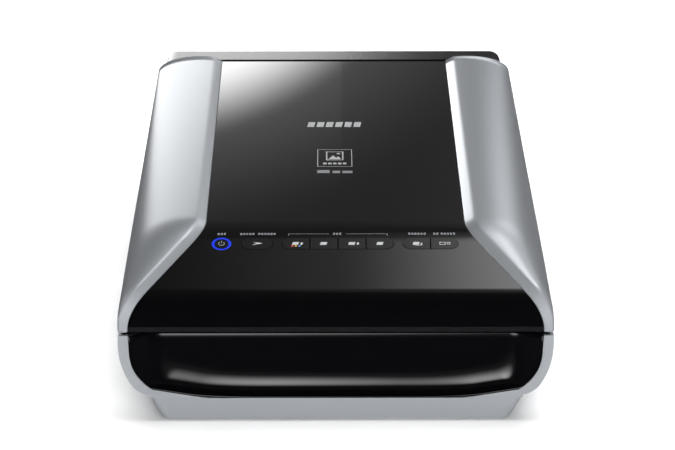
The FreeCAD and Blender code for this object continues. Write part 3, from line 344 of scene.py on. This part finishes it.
def fine_white_foam():
    """Fine-cell polyurethane foam: matt off-white with tiny pits."""
    return surface("fine_white_foam", "D5D5D1", "E3E3E0", grain_mm=0.7, relief_mm=0.12,
                   rough=(0.85, 0.95), strength=0.8, settings={"IOR": 1.45})


def milky_diffuser():
    """Opal acrylic in front of a lamp: white and slightly glowing through."""
    return surface("milky_diffuser", "E6E8EA", "F0F2F3", grain_mm=5.0, relief_mm=0.004,
                   rough=(0.22, 0.28), strength=0.2,
                   settings={"IOR": 1.49, "Subsurface Weight": 0.3,
                             "Subsurface Radius": (0.004, 0.004, 0.004)})


def mid_grey_abs():
    """Recycled ABS used inside housings: a plain mid grey with a dull texture."""
    return surface("mid_grey_abs", "515356", "5C5E61", grain_mm=0.6, relief_mm=0.02,
                   rough=(0.45, 0.55), strength=0.5, settings={"IOR": 1.5})


def green_solder_mask():
    """Green lacquer on a glass-epoxy circuit board: glossy, faintly mottled by the weave below."""
    return surface("green_solder_mask", "0D4A26", "155C31", grain_mm=1.1, relief_mm=0.01,
                   rough=(0.22, 0.32), strength=0.4, settings={"IOR": 1.52})


def black_moulded_packages():
    """Epoxy chip packages: fine matt black."""
    return surface("black_moulded_packages", "1B1B1D", "262628", grain_mm=0.5, relief_mm=0.01,
                   rough=(0.5, 0.6), strength=0.4, settings={"IOR": 1.5})


def black_nylon_sockets():
    """Glass-filled nylon sockets: near-black with a dry sheen."""
    return surface("black_nylon_sockets", "101011", "19191A", grain_mm=0.5, relief_mm=0.02,
                   rough=(0.40, 0.52), strength=0.4, settings={"IOR": 1.53})


def tinned_steel():
    """Tin-plated connector shell: pale and soft-edged reflections."""
    return surface("tinned_steel", "B4B5B4", "C2C3C2", grain_mm=2.0, relief_mm=0.004,
                   rough=(0.25, 0.34), strength=0.3, settings={"Metallic": 1.0})


def white_flat_cable():
    """Polyester-insulated flat cable: white with a slight gloss."""
    return surface("white_flat_cable", "D9DCE2", "E6E8EC", grain_mm=1.0, relief_mm=0.01,
                   rough=(0.35, 0.45), strength=0.3, settings={"IOR": 1.5})


def front_silvered_mirror():
    """Aluminised glass strip: a near-perfect mirror."""
    return surface("front_silvered_mirror", "E6E7E8", "EEEFF0", grain_mm=30.0, relief_mm=0.001,
                   rough=(0.01, 0.02), strength=0.05, settings={"Metallic": 1.0})


def black_anodised_aluminium():
    """Lens barrel in black anodised aluminium: dark satin metal."""
    return surface("black_anodised_aluminium", "1C1C1F", "27272A", grain_mm=0.5, relief_mm=0.006,
                   rough=(0.32, 0.42), strength=0.3, settings={"Metallic": 0.8})


def printed_ink(name, colour):
    """Screen-printed ink: flat, slightly rough colour on top of the lacquer."""
    return surface(name, colour, colour, grain_mm=0.5, relief_mm=0.002,
                   rough=(0.45, 0.55), strength=0.2, settings={"IOR": 1.5})


SLOT_MATERIALS = {
    "silver_paint": silver_lacquered_abs(),
    # The base's silver paint, darkened to a grey as painted shade.
    "case_grey": silver_paint_with_painted_shade(),
    "piano_black": piano_black_lacquer(),
    "satin_black": satin_black_abs(),
    "button_black": button_black_abs(),
    "light_ring": blue_lit_light_guide(),
    "platen_glass": float_glass(),
    "white_mat": white_mat_sheet(),
    "grey_foam": fine_white_foam(),
    "milky_plastic": milky_diffuser(),
    "grey_plastic": mid_grey_abs(),
    "nylon": natural_acetal(),
    "belt_rubber": ribbed_belt_rubber(),
    "polished_steel": ground_steel(),
    "sheet_steel": zinc_plated_steel(),
    "board_green": green_solder_mask(),
    "chip_black": black_moulded_packages(),
    "socket_black": black_nylon_sockets(),
    "socket_metal": tinned_steel(),
    "cable_white": white_flat_cable(),
    "mirror_glass": front_silvered_mirror(),
    "lens_black": black_anodised_aluminium(),
    "foot_rubber": soft_foot_rubber(),
}
SLOT_MATERIALS["spring_steel"] = SLOT_MATERIALS["sheet_steel"]
PALE_INK = printed_ink("pale_grey_ink", "C4C6C8")
DIM_INK = printed_ink("dim_grey_ink", "8B8E92")
RED_INK = printed_ink("red_ink", "C8452E")
YELLOW_INK = printed_ink("yellow_ink", "D9A93A")
BLUE_INK = printed_ink("blue_ink", "5C86C8")


def finish_packed_nodes():
    """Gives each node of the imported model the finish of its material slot."""
    for entry in frame["record"]["subparts"]:
        node = frame["nodes"][entry["node"]]
        for holder in node.material_slots:
            holder.link = "OBJECT"
            holder.material = SLOT_MATERIALS[entry["material_slot"]]


# ======================================================================================
# Lid outline
# ======================================================================================
def lid_corners():
    """(t, z) where the nose, the sloping front and the bend end."""
    nose_end = (NOSE_RADIUS * (1 - math.sin(FRONT_SLOPE)),
                LID_Z + NOSE_FLAT + NOSE_RADIUS * math.cos(FRONT_SLOPE))
    bend_t = BEND_RADIUS * (math.sin(FRONT_SLOPE) - math.sin(TOP_SLOPE))
    bend_z = BEND_RADIUS * (math.cos(TOP_SLOPE) - math.cos(FRONT_SLOPE))
    grade = math.tan(TOP_SLOPE)
    rise = PANEL_BACK_Z - bend_z - nose_end[1] - grade * (PANEL_END_T - nose_end[0] - bend_t)
    run = rise / (math.sin(FRONT_SLOPE) - grade * math.cos(FRONT_SLOPE))
    slope_end = (nose_end[0] + run * math.cos(FRONT_SLOPE), nose_end[1] + run * math.sin(FRONT_SLOPE))
    bend_end = (slope_end[0] + bend_t, slope_end[1] + bend_z)
    return nose_end, slope_end, bend_end


NOSE_END, SLOPE_END, BEND_END = lid_corners()
NOSE_TURN = math.pi / 2 - FRONT_SLOPE


def lid_height(t):
    """Height of the black centre panel t back from the front."""
    if t < NOSE_END[0]:
        return LID_Z + NOSE_FLAT + math.sqrt(max(NOSE_RADIUS ** 2 - (NOSE_RADIUS - t) ** 2, 0))
    if t < SLOPE_END[0]:
        return NOSE_END[1] + (t - NOSE_END[0]) * math.tan(FRONT_SLOPE)
    if t < BEND_END[0]:
        centre_t = SLOPE_END[0] + BEND_RADIUS * math.sin(FRONT_SLOPE)
        centre_z = SLOPE_END[1] - BEND_RADIUS * math.cos(FRONT_SLOPE)
        return centre_z + math.sqrt(BEND_RADIUS ** 2 - (centre_t - t) ** 2)
    return BEND_END[1] + (t - BEND_END[0]) * math.tan(TOP_SLOPE)


def lid_stations():
    """(t, z, slope angle) along the outline from the lip to the back."""
    stations = [(0.0, LID_Z + NOSE_FLAT * i / LIP_STEPS, math.pi / 2) for i in range(LIP_STEPS)]
    for i in range(NOSE_STEPS + 1):
        angle = math.pi / 2 - NOSE_TURN * i / NOSE_STEPS
        stations.append((NOSE_RADIUS * (1 - math.sin(angle)),
                         LID_Z + NOSE_FLAT + NOSE_RADIUS * math.cos(angle), angle))
    for i in range(1, SLOPE_STEPS + 1):
        t = mix(NOSE_END[0], SLOPE_END[0], i / SLOPE_STEPS)
        stations.append((t, lid_height(t), FRONT_SLOPE))
    for i in range(1, BEND_STEPS + 1):
        angle = mix(FRONT_SLOPE, TOP_SLOPE, i / BEND_STEPS)
        t = SLOPE_END[0] + BEND_RADIUS * (math.sin(FRONT_SLOPE) - math.sin(angle))
        stations.append((t, lid_height(t), angle))
    for i in range(1, TOP_STEPS + 1):
        t = mix(BEND_END[0], PANEL_END_T, i / TOP_STEPS)
        stations.append((t, lid_height(t), TOP_SLOPE))
    return stations


def panel_half(t, z):
    """Half width of the black centre panel where the outline passes (t, z)."""
    if t >= BEND_END[0]:
        share = (t - BEND_END[0]) / (PANEL_END_T - BEND_END[0])
        return HALF_WIDTH - mix(PANEL_INSET_WAIST, PANEL_INSET_BACK, share)
    front_half = HALF_WIDTH - PANEL_INSET_FRONT
    arc_z = LID_Z + FLARE_RADIUS * math.sin(FLARE_TURN)
    if z <= arc_z:
        angle = math.asin(max(z - LID_Z, 0) / FLARE_RADIUS)
        return front_half - FLARE_RADIUS * (1 - math.cos(angle))
    arc_x = front_half - FLARE_RADIUS * (1 - math.cos(FLARE_TURN))
    return mix(arc_x, HALF_WIDTH - PANEL_INSET_WAIST, (z - arc_z) / (BEND_END[1] - arc_z))


# ======================================================================================
# Silver side panels
# ======================================================================================
RIBBON_RISE_AT_LIP = 0.5
RIBBON_MARGIN = 1.6
LIP_SETBACK = 2.4
CROWN_STEPS = 18
CROWN_REACH = 0.6
CROWN_LIFT = 0.06
SHOULDER_PULL = 0.62
INNER_WALL_DEPTH = 2.2
FOOT_WIDTH = 2.4
INNER_EDGE_ROUND = 0.7
RIDGE_ROUND = 1.6
FOOT_ROUND = 0.8


def rounded(points, radii, steps=4):
    """The polyline with each inner corner replaced by a short curve."""
    most = 0.45
    path = [points[0]]
    for before, corner, after, radius in zip(points, points[1:], points[2:], radii):
        reach_in = min(radius, (before - corner).length * most)
        reach_out = min(radius, (after - corner).length * most)
        start = corner + (before - corner).normalized() * reach_in
        end = corner + (after - corner).normalized() * reach_out
        for i in range(steps + 1):
            share = i / steps
            path.append(start.lerp(corner, share).lerp(corner.lerp(end, share), share))
    path.append(points[-1])
    return path


def bezier(points, share):
    """The point a share of the way along the curve with these handles."""
    while len(points) > 1:
        points = [a.lerp(b, share) for a, b in zip(points, points[1:])]
    return points[0]


def side_row(t, z, angle):
    """One row across the right side panel: inner wall, ribbon, crown, shoulder, outer wall."""
    edge = panel_half(t, z)
    normal = (-math.sin(angle), math.cos(angle))
    share = smooth_step((math.pi / 2 - angle) / NOSE_TURN)
    rise = mix(RIBBON_RISE_AT_LIP, RIBBON_RISE, share)
    ribbon = min(RIBBON_WIDTH, HALF_WIDTH - edge - RIBBON_MARGIN)
    inner = Vector((edge, t, z))
    ridge = Vector((edge + ribbon, t + rise * normal[0], z + rise * normal[1]))
    shoulder_z = mix(SHOULDER_FRONT_Z, SHOULDER_BACK_Z, t / PANEL_END_T)
    setback = mix(LIP_SETBACK, 0.0, share)
    outer_z = min(shoulder_z, ridge.z)
    outer = Vector((HALF_WIDTH, t + setback, outer_z))
    width = HALF_WIDTH - ridge.x
    handles = [ridge, ridge + Vector((CROWN_REACH * width, 0, CROWN_LIFT * width * share)),
               outer + Vector((0, -CROWN_REACH * setback, SHOULDER_PULL * (ridge.z - outer_z))), outer]
    crown = [bezier(handles, i / CROWN_STEPS) for i in range(1, CROWN_STEPS)]
    deep = inner - Vector((0, normal[0], normal[1])) * INNER_WALL_DEPTH
    foot = Vector((HALF_WIDTH, outer.y, LID_Z))
    inside = Vector((HALF_WIDTH - FOOT_WIDTH, outer.y, LID_Z))
    top = rounded([deep, inner, ridge, crown[0]], (INNER_EDGE_ROUND, RIDGE_ROUND))
    bottom = rounded([outer, foot, inside], (FOOT_ROUND,))
    return [place(p.x, p.y, p.z) for p in top[:-1] + crown + bottom]


def make_side_panels():
    """Both side panels as one smooth skin each, closed at the back."""
    rows = [side_row(*station) for station in lid_stations()]
    points, faces = skin(rows)
    faces.append(tuple(last_row(rows)))
    for name, side in (("right_side_panel", 1), ("left_side_panel", -1)):
        placed = [Vector((p.x * side, p.y, p.z)) for p in points]
        turned = [face if side == -1 else face[::-1] for face in faces]
        mesh = mesh_from(name + "_skin", placed, turned)
        piece = new_piece(name + "_skin", mesh, "lid", SLOT_MATERIALS["silver_paint"])
        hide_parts(name)


# ======================================================================================
# Finger recess
# ======================================================================================
RECESS_FLOOR_Z = 17.2
RECESS_TOP_Z = 58.4
RECESS_LIP = 2.0
RECESS_GAP = 0.5
FLOOR_RADIUS = 9.5
BACK_RADIUS = 15.0
LIP_DEGREES = 5.0
TURN_DEGREES = 50.0
CURVE_STEPS = 34
LIP_STATIONS = ((0.3, 0.0, 0.0), (1.2, 1.0, 0.0))
END_RUN = 8.0
END_SLOPE = 1.2
END_WALL_STEP = 0.3
END_WALL_STEP_Z = 52.0
CORNER_TOP_IN = 0.6
CORNER_TOP_Z = 46.0
CORNER_ELBOW_IN = 2.0
CORNER_ELBOW_RISE = 7.8
CORNER_FOOT_IN = 15.0
CORNER_FOOT_RISE = 5.6
CORNER_STEPS = 14
FLAT_SHARE = 0.7
FLAT_ROUND = 34.0
FLAT_STEPS = 10
RECESS_WALL = 1.2


def recess_stations():
    """(depth, ends drawn in, floor raised) from the front edge of the recess to its back wall."""
    start = math.radians(LIP_DEGREES)
    turn = math.radians(TURN_DEGREES)
    turn_t = RECESS_LIP + FLOOR_RADIUS * (math.sin(turn) - math.sin(start))
    turn_rise = FLOOR_RADIUS * (math.cos(start) - math.cos(turn))
    depth = turn_t + BACK_RADIUS * (1 - math.sin(turn))
    end_radius = (depth - END_RUN) / (1 - math.sin(turn))
    stations = list(LIP_STATIONS)
    for i in range(CURVE_STEPS + 1):
        angle = math.radians(LIP_DEGREES + (90 - LIP_DEGREES) * i / CURVE_STEPS)
        if angle <= turn:
            t = RECESS_LIP + FLOOR_RADIUS * (math.sin(angle) - math.sin(start))
            rise = FLOOR_RADIUS * (math.cos(start) - math.cos(angle))
        else:
            t = turn_t + BACK_RADIUS * (math.sin(angle) - math.sin(turn))
            rise = turn_rise + BACK_RADIUS * (math.cos(turn) - math.cos(angle))
        side = END_SLOPE * min(t, END_RUN)
        if t > END_RUN:
            lean = math.asin(min(math.sin(turn) + (t - END_RUN) / end_radius, 1.0))
            side += end_radius * (math.cos(turn) - math.cos(lean))
        stations.append((t, side, rise))
    return stations


def recess_row(t, side, rise):
    """One row round the hollow, from the top of its right end, along its floor, to its left end."""
    half = HALF_WIDTH - PANEL_INSET_FRONT - RECESS_GAP - side
    floor = RECESS_FLOOR_Z + rise
    upper = Vector((half - CORNER_TOP_IN, CORNER_TOP_Z))
    lower = Vector((half - CORNER_FOOT_IN, floor + CORNER_FOOT_RISE))
    elbow = Vector((half - CORNER_ELBOW_IN, floor + CORNER_ELBOW_RISE))
    flat = Vector((lower.x * FLAT_SHARE, floor))
    right = [Vector((half, RECESS_TOP_Z)), Vector((half - END_WALL_STEP, END_WALL_STEP_Z))]
    right += [bezier([upper, elbow, lower], i / CORNER_STEPS) for i in range(CORNER_STEPS + 1)]
    right += rounded([lower, flat, Vector((0.0, floor))], (FLAT_ROUND,), FLAT_STEPS)[1:]
    left = [Vector((-p.x, p.y)) for p in right[-2::-1]]
    return [place(p.x, t, p.y) for p in right + left]


def make_finger_recess():
    """The hollow under the lip as one smooth skin with a moulded wall behind it."""
    rows = [recess_row(*station) for station in recess_stations()]
    points, faces = skin(rows)
    faces.append(tuple(reversed(last_row(rows))))
    mesh = mesh_from("finger_recess_skin", points, faces)
    if mesh.polygons[len(mesh.polygons) - 1].normal.y > 0:
        mesh.flip_normals()
    piece = new_piece("finger_recess_skin", mesh, "base", SLOT_MATERIALS["piano_black"])
    wall = piece.modifiers.new("moulded_wall", "SOLIDIFY")
    wall.thickness = RECESS_WALL * MM
    wall.offset = -1.0
    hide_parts("finger_recess")


# ======================================================================================
# Studio
# ======================================================================================
AMBIENT_FRONT = 0.02
AMBIENT_BACK = 0.10
AMBIENT_BLEND = 0.6
FLOOR_HALF = 6.0
SHEET_REACH = 1.6
HALO_START = 0.8
CAMERA_PLACE = (-0.0055, -1.800, 0.681)
CAMERA_DOWN_DEGREES = 19.4
CAMERA_TURN_DEGREES = -0.24
CAMERA_LENS = 143.7
CAMERA_SENSOR = 36.0
CAMERA_FAR = 50.0

SHEET_LIGHTS = (
    # name, middle, half sizes, turned to face, strength,
    # shares of the half size where it starts to fade and is gone, halo, lit pieces
    ("back_left_softbox", (-0.27, 1.25, 0.205), (0.35, 0.28), (-0.27, 0.0, 0.205), 4.6,
     0.80, 1.14, 0.40, None),
    ("overhead_right_softbox", (0.45, 0.60, 1.50), (0.45, 0.60), (0.45, 0.60, 0.0), 4.0,
     0.20, 1.00, 0.35, None),
    ("back_right_softbox", (0.62, 1.25, 0.82), (0.38, 0.42), (0.62, 0.0, 0.82), 2.6,
     0.30, 1.00, 0.10, None),
    ("front_strip_light", (-0.22, -1.23, 0.75), (0.46, 0.74), (-0.22, 0.0, 0.75), 7.5,
     0.00, 1.05, 0.20, ("finger_recess_skin",)),
)
FILL_LIGHTS = (
    # name, place, aimed at, size, watts, lit pieces: wide cloth-covered fills that never glint
    ("overhead_fill", (0.5, -0.2, 2.0), (0.1, -0.1, 0.0), 1.6, 13.0, None),
    ("front_low_fill", (0.1, -1.7, 0.12), (0.0, 0.0, 0.03), 1.4, 62.0, None),
    ("floor_fill", (0.0, 0.6, 2.2), (0.0, 0.2, 0.0), 3.0, 85.0, ("floor",)),
)


def make_world():
    """Dim studio surround, a little brighter at the back, that the camera sees as white."""
    world = bpy.data.worlds.new("studio")
    bpy.context.scene.world = world
    world.use_nodes = True
    tree = world.node_tree
    tree.nodes.clear()
    coords = add(tree, "ShaderNodeTexCoord")
    direction = add(tree, "ShaderNodeSeparateXYZ", links={"Vector": (coords, "Generated")})
    ambient = add(tree, "ShaderNodeMapRange",
                  {"From Min": -AMBIENT_BLEND, "From Max": AMBIENT_BLEND,
                   "To Min": AMBIENT_FRONT, "To Max": AMBIENT_BACK}, {"Value": (direction, "Y")})
    lit = add(tree, "ShaderNodeBackground", {"Color": srgb("FDFDFF")}, {"Strength": (ambient, "Result")})
    seen = add(tree, "ShaderNodeBackground", {"Color": srgb("FFFFFF"), "Strength": 1.0})
    path = add(tree, "ShaderNodeLightPath")
    both = add(tree, "ShaderNodeMixShader",
               links={0: (path, "Is Camera Ray"), 1: (lit, 0), 2: (seen, 0)})
    add(tree, "ShaderNodeOutputWorld", links={"Surface": (both, 0)})


def light_only(light, lit):
    """Keeps a light to the named pieces, as flags and cards do in a studio."""
    if lit:
        receivers = bpy.data.collections.new(light.name + "_reach")
        for name in lit:
            receivers.objects.link(bpy.data.objects[name])
        light.light_linking.receiver_collection = receivers


def rectangle(name, half_x, half_y):
    """A flat rectangle round the origin, with half sizes in metres."""
    return mesh_from(name, [(-half_x, -half_y, 0), (half_x, -half_y, 0), (half_x, half_y, 0),
                            (-half_x, half_y, 0)], [(0, 1, 2, 3)])


def fading(tree, distance, start, end, strength):
    """A strength that falls smoothly to nothing between two distances."""
    return add(tree, "ShaderNodeMapRange",
               {"interpolation_type": "SMOOTHSTEP", "From Min": start, "From Max": end,
                "To Min": strength, "To Max": 0.0}, {"Value": (distance, "Value")})


def glowing_cloth(name, half, strength, fade_from, fade_to, halo):
    """Cloth lit from behind: a bright middle and a wide faint halo, clear where it has faded."""
    material, tree = start_material(name)
    coords = add(tree, "ShaderNodeTexCoord")
    scaled = add(tree, "ShaderNodeVectorMath", {"operation": "DIVIDE", 1: (half[0], half[1], 1.0)},
                 {0: (coords, "Object")})
    away = add(tree, "ShaderNodeVectorMath", {"operation": "LENGTH"}, {0: (scaled, "Vector")})
    middle = fading(tree, away, fade_from, fade_to, strength)
    edge = fading(tree, away, HALO_START, SHEET_REACH, halo)
    total = add(tree, "ShaderNodeMath", {"operation": "ADD"},
                {0: (middle, "Result"), 1: (edge, "Result")})
    glow = add(tree, "ShaderNodeEmission", {"Color": srgb("FFFFFF")}, {"Strength": (total, 0)})
    clear = add(tree, "ShaderNodeBsdfTransparent")
    finish_material(tree, add(tree, "ShaderNodeAddShader", links={0: (glow, 0), 1: (clear, 0)}))
    return material


def make_sheet_lights():
    """Lit cloth panels, brightest in the middle and fading to nothing at their edges."""
    for name, middle, half, target, strength, fade_from, fade_to, halo, lit in SHEET_LIGHTS:
        mesh = rectangle(name, half[0] * SHEET_REACH, half[1] * SHEET_REACH)
        mesh.materials.append(glowing_cloth(name + "_cloth", half, strength, fade_from, fade_to, halo))
        panel = add_object(name, mesh)
        panel.location = middle
        panel.rotation_euler = (Vector(target) - Vector(middle)).to_track_quat("Z", "Y").to_euler()
        panel.visible_camera = False
        panel.visible_shadow = False
        light_only(panel, lit)


def make_fill_lights():
    """Wide fills that lift the shadows and never show as a reflection."""
    for name, place_at, target, size, watts, lit in FILL_LIGHTS:
        data = bpy.data.lights.new(name, "AREA")
        data.size = size
        data.energy = watts
        light = add_object(name, data)
        light.location = place_at
        light.rotation_euler = (Vector(place_at) - Vector(target)).to_track_quat("Z", "Y").to_euler()
        light.visible_glossy = False
        light_only(light, lit)


def white_paper_sweep():
    """Wide roll of matt white paper: even, with the faintest cloudiness."""
    material, tree = start_material("white_paper_sweep")
    colour = varied_colour(tree, grain(tree, 60.0), "F6F6F6", "FAFAFA")
    finish_material(tree, add(tree, "ShaderNodeBsdfDiffuse", links={"Color": (colour, "Color")}))
    return material


def make_floor():
    """The paper the scanner stands on, kept out of its reflections."""
    mesh = rectangle("floor", FLOOR_HALF, FLOOR_HALF)
    mesh.materials.append(white_paper_sweep())
    floor = add_object("floor", mesh)
    floor.visible_glossy = False


def make_camera():
    """A long lens in front of the scanner, looking a little down."""
    data = bpy.data.cameras.new("camera")
    data.lens = CAMERA_LENS
    data.sensor_width = CAMERA_SENSOR
    data.clip_end = CAMERA_FAR
    camera = add_object("camera", data)
    camera.location = CAMERA_PLACE
    camera.rotation_euler = (math.radians(90 - CAMERA_DOWN_DEGREES), 0,
                             math.radians(CAMERA_TURN_DEGREES))
    bpy.context.scene.camera = camera


# ======================================================================================
# Printed marks, all plain shapes that stand for no maker and spell nothing
# ======================================================================================
PRINT_LIFT = 0.05
TICK_COUNT = 6
TICK_LEFT = -19.5
TICK_PITCH = 6.6
TICK_WIDTH = 4.9
TICK_LEAN = 1.0
TICK_SPAN_T = (285.0, 296.5)
BADGE_FRAME = (-12.0, 12.0, 195.0, 233.0)
BADGE_FRAME_LINE = 0.5
BADGE_PICTURE = (-6.0, 6.0, 209.0, 228.0)
BADGE_PICTURE_LINE = 0.9
BADGE_HILLS = ((-4.6, 211.0), (-1.2, 219.5), (1.0, 214.5), (2.6, 217.5), (4.6, 211.0))
BADGE_SUN = (2.6, 223.5, 1.3)
BADGE_DASH_COUNT = 5
BADGE_DASH_LEFT = -8.0
BADGE_DASH_PITCH = 3.4
BADGE_DASH_WIDTH = 2.4
BADGE_DASH_SPAN_T = (200.0, 203.6)
MODEL_DASHES = ((-12.0, -3.6, 181.0, 187.5), (-1.6, 3.6, 181.0, 186.0), (5.2, 12.0, 181.0, 186.0))
LABEL_SPANS = ((-75.4, -70.6), (-61.0, -52.4), (-49.4, -38.6), (-1.6, 4.2), (46.6, 57.0),
               (62.6, 66.0), (67.4, 76.2))
LABEL_SPAN_T = (63.6, 65.9)
LABEL_DASH = 1.35
LABEL_PITCH = 1.95
GROUP_LINES = ((-30.2, -4.2), (6.6, 33.3))
GROUP_LINE_SPAN_T = (64.5, 64.9)
GROUP_ENDS = ((-30.2, -29.8), (32.9, 33.3))
GROUP_END_SPAN_T = (62.6, 64.5)
POWER_ARC_RADIUS = 2.1
POWER_ARC_LINE = 0.5
POWER_ARC_DEGREES = (40, 320)
POWER_STROKE = (-0.28, 0.28, 0.4, 2.6)
INK_DOT_V = -2.5
INK_DOT_RADIUS = 0.75
INK_DOTS = (("red", RED_INK, -2.4), ("yellow", YELLOW_INK, 0.0), ("blue", BLUE_INK, 2.4))


def on_lid(x, t):
    """A point just above the black panel."""
    return place(x, t, lid_height(t) + PRINT_LIFT)


def on_cap(x, v):
    """A point just above a button cap, v up the slope from the middle of the row."""
    lift = CAP_PROUD + PRINT_LIFT
    return place(x, ROW_T + v * math.cos(FRONT_SLOPE) - lift * math.sin(FRONT_SLOPE),
                 lid_height(ROW_T) + v * math.sin(FRONT_SLOPE) + lift * math.cos(FRONT_SLOPE))


def print_shapes(name, shapes, spot, body, ink):
    """One thin ink layer of many small polygons, each a list of (x, t) corners."""
    points = []
    faces = []
    for shape in shapes:
        faces.append(tuple(range(len(points), len(points) + len(shape))))
        points += [spot(x, t) for x, t in shape]
    new_piece(name, mesh_from(name, points, faces), body, ink, smooth=False)


def bar(x0, x1, t0, t1, lean=0.0):
    """A four-cornered stroke, its far side shifted by lean."""
    return [(x0, t0), (x1, t0), (x1 + lean, t1), (x0 + lean, t1)]


def outline(x0, x1, t0, t1, line):
    """The four strokes of a rectangle's frame."""
    return [bar(x0, x1, t0, t0 + line), bar(x0, x1, t1 - line, t1),
            bar(x0, x0 + line, t0 + line, t1 - line), bar(x1 - line, x1, t0 + line, t1 - line)]


def disc(x, t, radius, count=16):
    """A round dot."""
    turns = [2 * math.pi * i / count for i in range(count)]
    return [(x + radius * math.cos(turn), t + radius * math.sin(turn)) for turn in turns]


def ring_arc(radius, line, start, end, count=14):
    """Short strokes round part of a circle about the origin, from one angle to another."""
    shapes = []
    for i in range(count):
        a = mix(start, end, i / count)
        b = mix(start, end, (i + 1) / count)
        corners = ((radius, a), (radius, b), (radius - line, b), (radius - line, a))
        shapes.append([(r * math.sin(angle), r * math.cos(angle)) for r, angle in corners])
    return shapes


def shifted(shapes, by):
    """The same shapes moved along the row."""
    return [[(x + by, v) for x, v in shape] for shape in shapes]


def print_lid():
    """Six ticks where a name would be, a badge with a picture in it, dashes and row labels."""
    ticks = []
    for i in range(TICK_COUNT):
        left = TICK_LEFT + TICK_PITCH * i
        ticks.append(bar(left, left + TICK_WIDTH, *TICK_SPAN_T, TICK_LEAN))
    print_shapes("nameplate_ticks", ticks, on_lid, "lid", PALE_INK)
    badge = outline(*BADGE_FRAME, BADGE_FRAME_LINE) + outline(*BADGE_PICTURE, BADGE_PICTURE_LINE)
    badge += [list(BADGE_HILLS), disc(*BADGE_SUN)]
    for i in range(BADGE_DASH_COUNT):
        left = BADGE_DASH_LEFT + BADGE_DASH_PITCH * i
        badge.append(bar(left, left + BADGE_DASH_WIDTH, *BADGE_DASH_SPAN_T))
    print_shapes("picture_badge", badge, on_lid, "lid", PALE_INK)
    dashes = [bar(*dash) for dash in MODEL_DASHES]
    print_shapes("model_dashes", dashes, on_lid, "lid", DIM_INK)
    labels = []
    for start, end in LABEL_SPANS:
        for i in range(int((end - start) / LABEL_PITCH) + 1):
            left = start + LABEL_PITCH * i
            labels.append(bar(left, left + LABEL_DASH, *LABEL_SPAN_T))
    labels += [bar(*line, *GROUP_LINE_SPAN_T) for line in GROUP_LINES]
    labels += [bar(*end, *GROUP_END_SPAN_T) for end in GROUP_ENDS]
    print_shapes("button_labels", labels, on_lid, "lid", DIM_INK)


def cap_pictures():
    """(button, middle of its cap, shapes round that middle), left to right in each group."""
    page = bar(-2.6, 1.4, -1.5, 1.3, 0.8)
    slip = bar(2.8, 4.0, -1.4, 0.9, 0.5)
    half = SEGMENT_WIDTH / 2
    pictures = [
        ("auto_scan_button", AUTO_LEFT + AUTO_WIDTH / 2,
         [[(-3.4, -1.6), (3.4, 0.1), (0.2, 0.5)], [(-3.0, 1.5), (3.4, 0.4), (-0.8, 0.5)]]),
        ("copy_button", COPY_LEFT + half,
         [page, bar(-1.0, 3.4, -2.1, -1.7), bar(2.6, 3.4, -1.7, 0.4, 0.4)]),
        ("mail_button", COPY_LEFT + 3 * half,
         outline(-3.2, 0.6, -1.5, 1.3, 0.45) + outline(1.4, 3.6, -1.1, 1.1, 0.45)),
    ]
    for i in range(4):
        pictures.append(("document_button_%d" % (i + 1), DOCUMENT_LEFT + (2 * i + 1) * half,
                         [page] if i % 2 else [page, slip]))
    return pictures


def print_buttons():
    """A small pale picture on each cap: a power sign, and pages in slightly different set-ups."""
    first, last = (math.radians(angle) for angle in POWER_ARC_DEGREES)
    power = ring_arc(POWER_ARC_RADIUS, POWER_ARC_LINE, first, last) + [bar(*POWER_STROKE)]
    print_shapes("power_picture", shifted(power, POWER_X), on_cap, "power_button_body", DIM_INK)
    for button, middle, shapes in cap_pictures():
        print_shapes(button + "_picture", shifted(shapes, middle), on_cap, button + "_body",
                     PALE_INK)
    middle = DOCUMENT_LEFT + SEGMENT_WIDTH / 2
    for name, ink, shift in INK_DOTS:
        print_shapes("document_dot_" + name, [disc(middle + shift, INK_DOT_V, INK_DOT_RADIUS)], on_cap,
                     "document_button_1_body", ink)


ROUNDED_EDGES = {"auto_scan_button": 0.35, "document_button_1": 0.3, "document_button_2": 0.3,
                 "document_button_3": 0.3, "document_button_4": 0.3, "copy_button": 0.3,
                 "mail_button": 0.3, "power_button": 0.3, "front_trim": 0.5}
ROUNDED_EDGE_STEPS = 2
ROUNDED_EDGE_DEGREES = 50


def soften_edges():
    """Small rounded edges on the button caps and on the silver frame round the finger recess."""
    for name, width in ROUNDED_EDGES.items():
        rounding = frame["nodes"][name].modifiers.new("rounded_edges", "BEVEL")
        rounding.width = width * MM
        rounding.segments = ROUNDED_EDGE_STEPS
        rounding.limit_method = "ANGLE"
        rounding.angle_limit = math.radians(ROUNDED_EDGE_DEGREES)
        rounding.harden_normals = True


finish_packed_nodes()
soften_edges()
make_side_panels()
make_finger_recess()
print_lid()
print_buttons()
make_world()
make_floor()
make_sheet_lights()
make_fill_lights()
make_camera()
bpy.context.scene.view_settings.view_transform = "Standard"
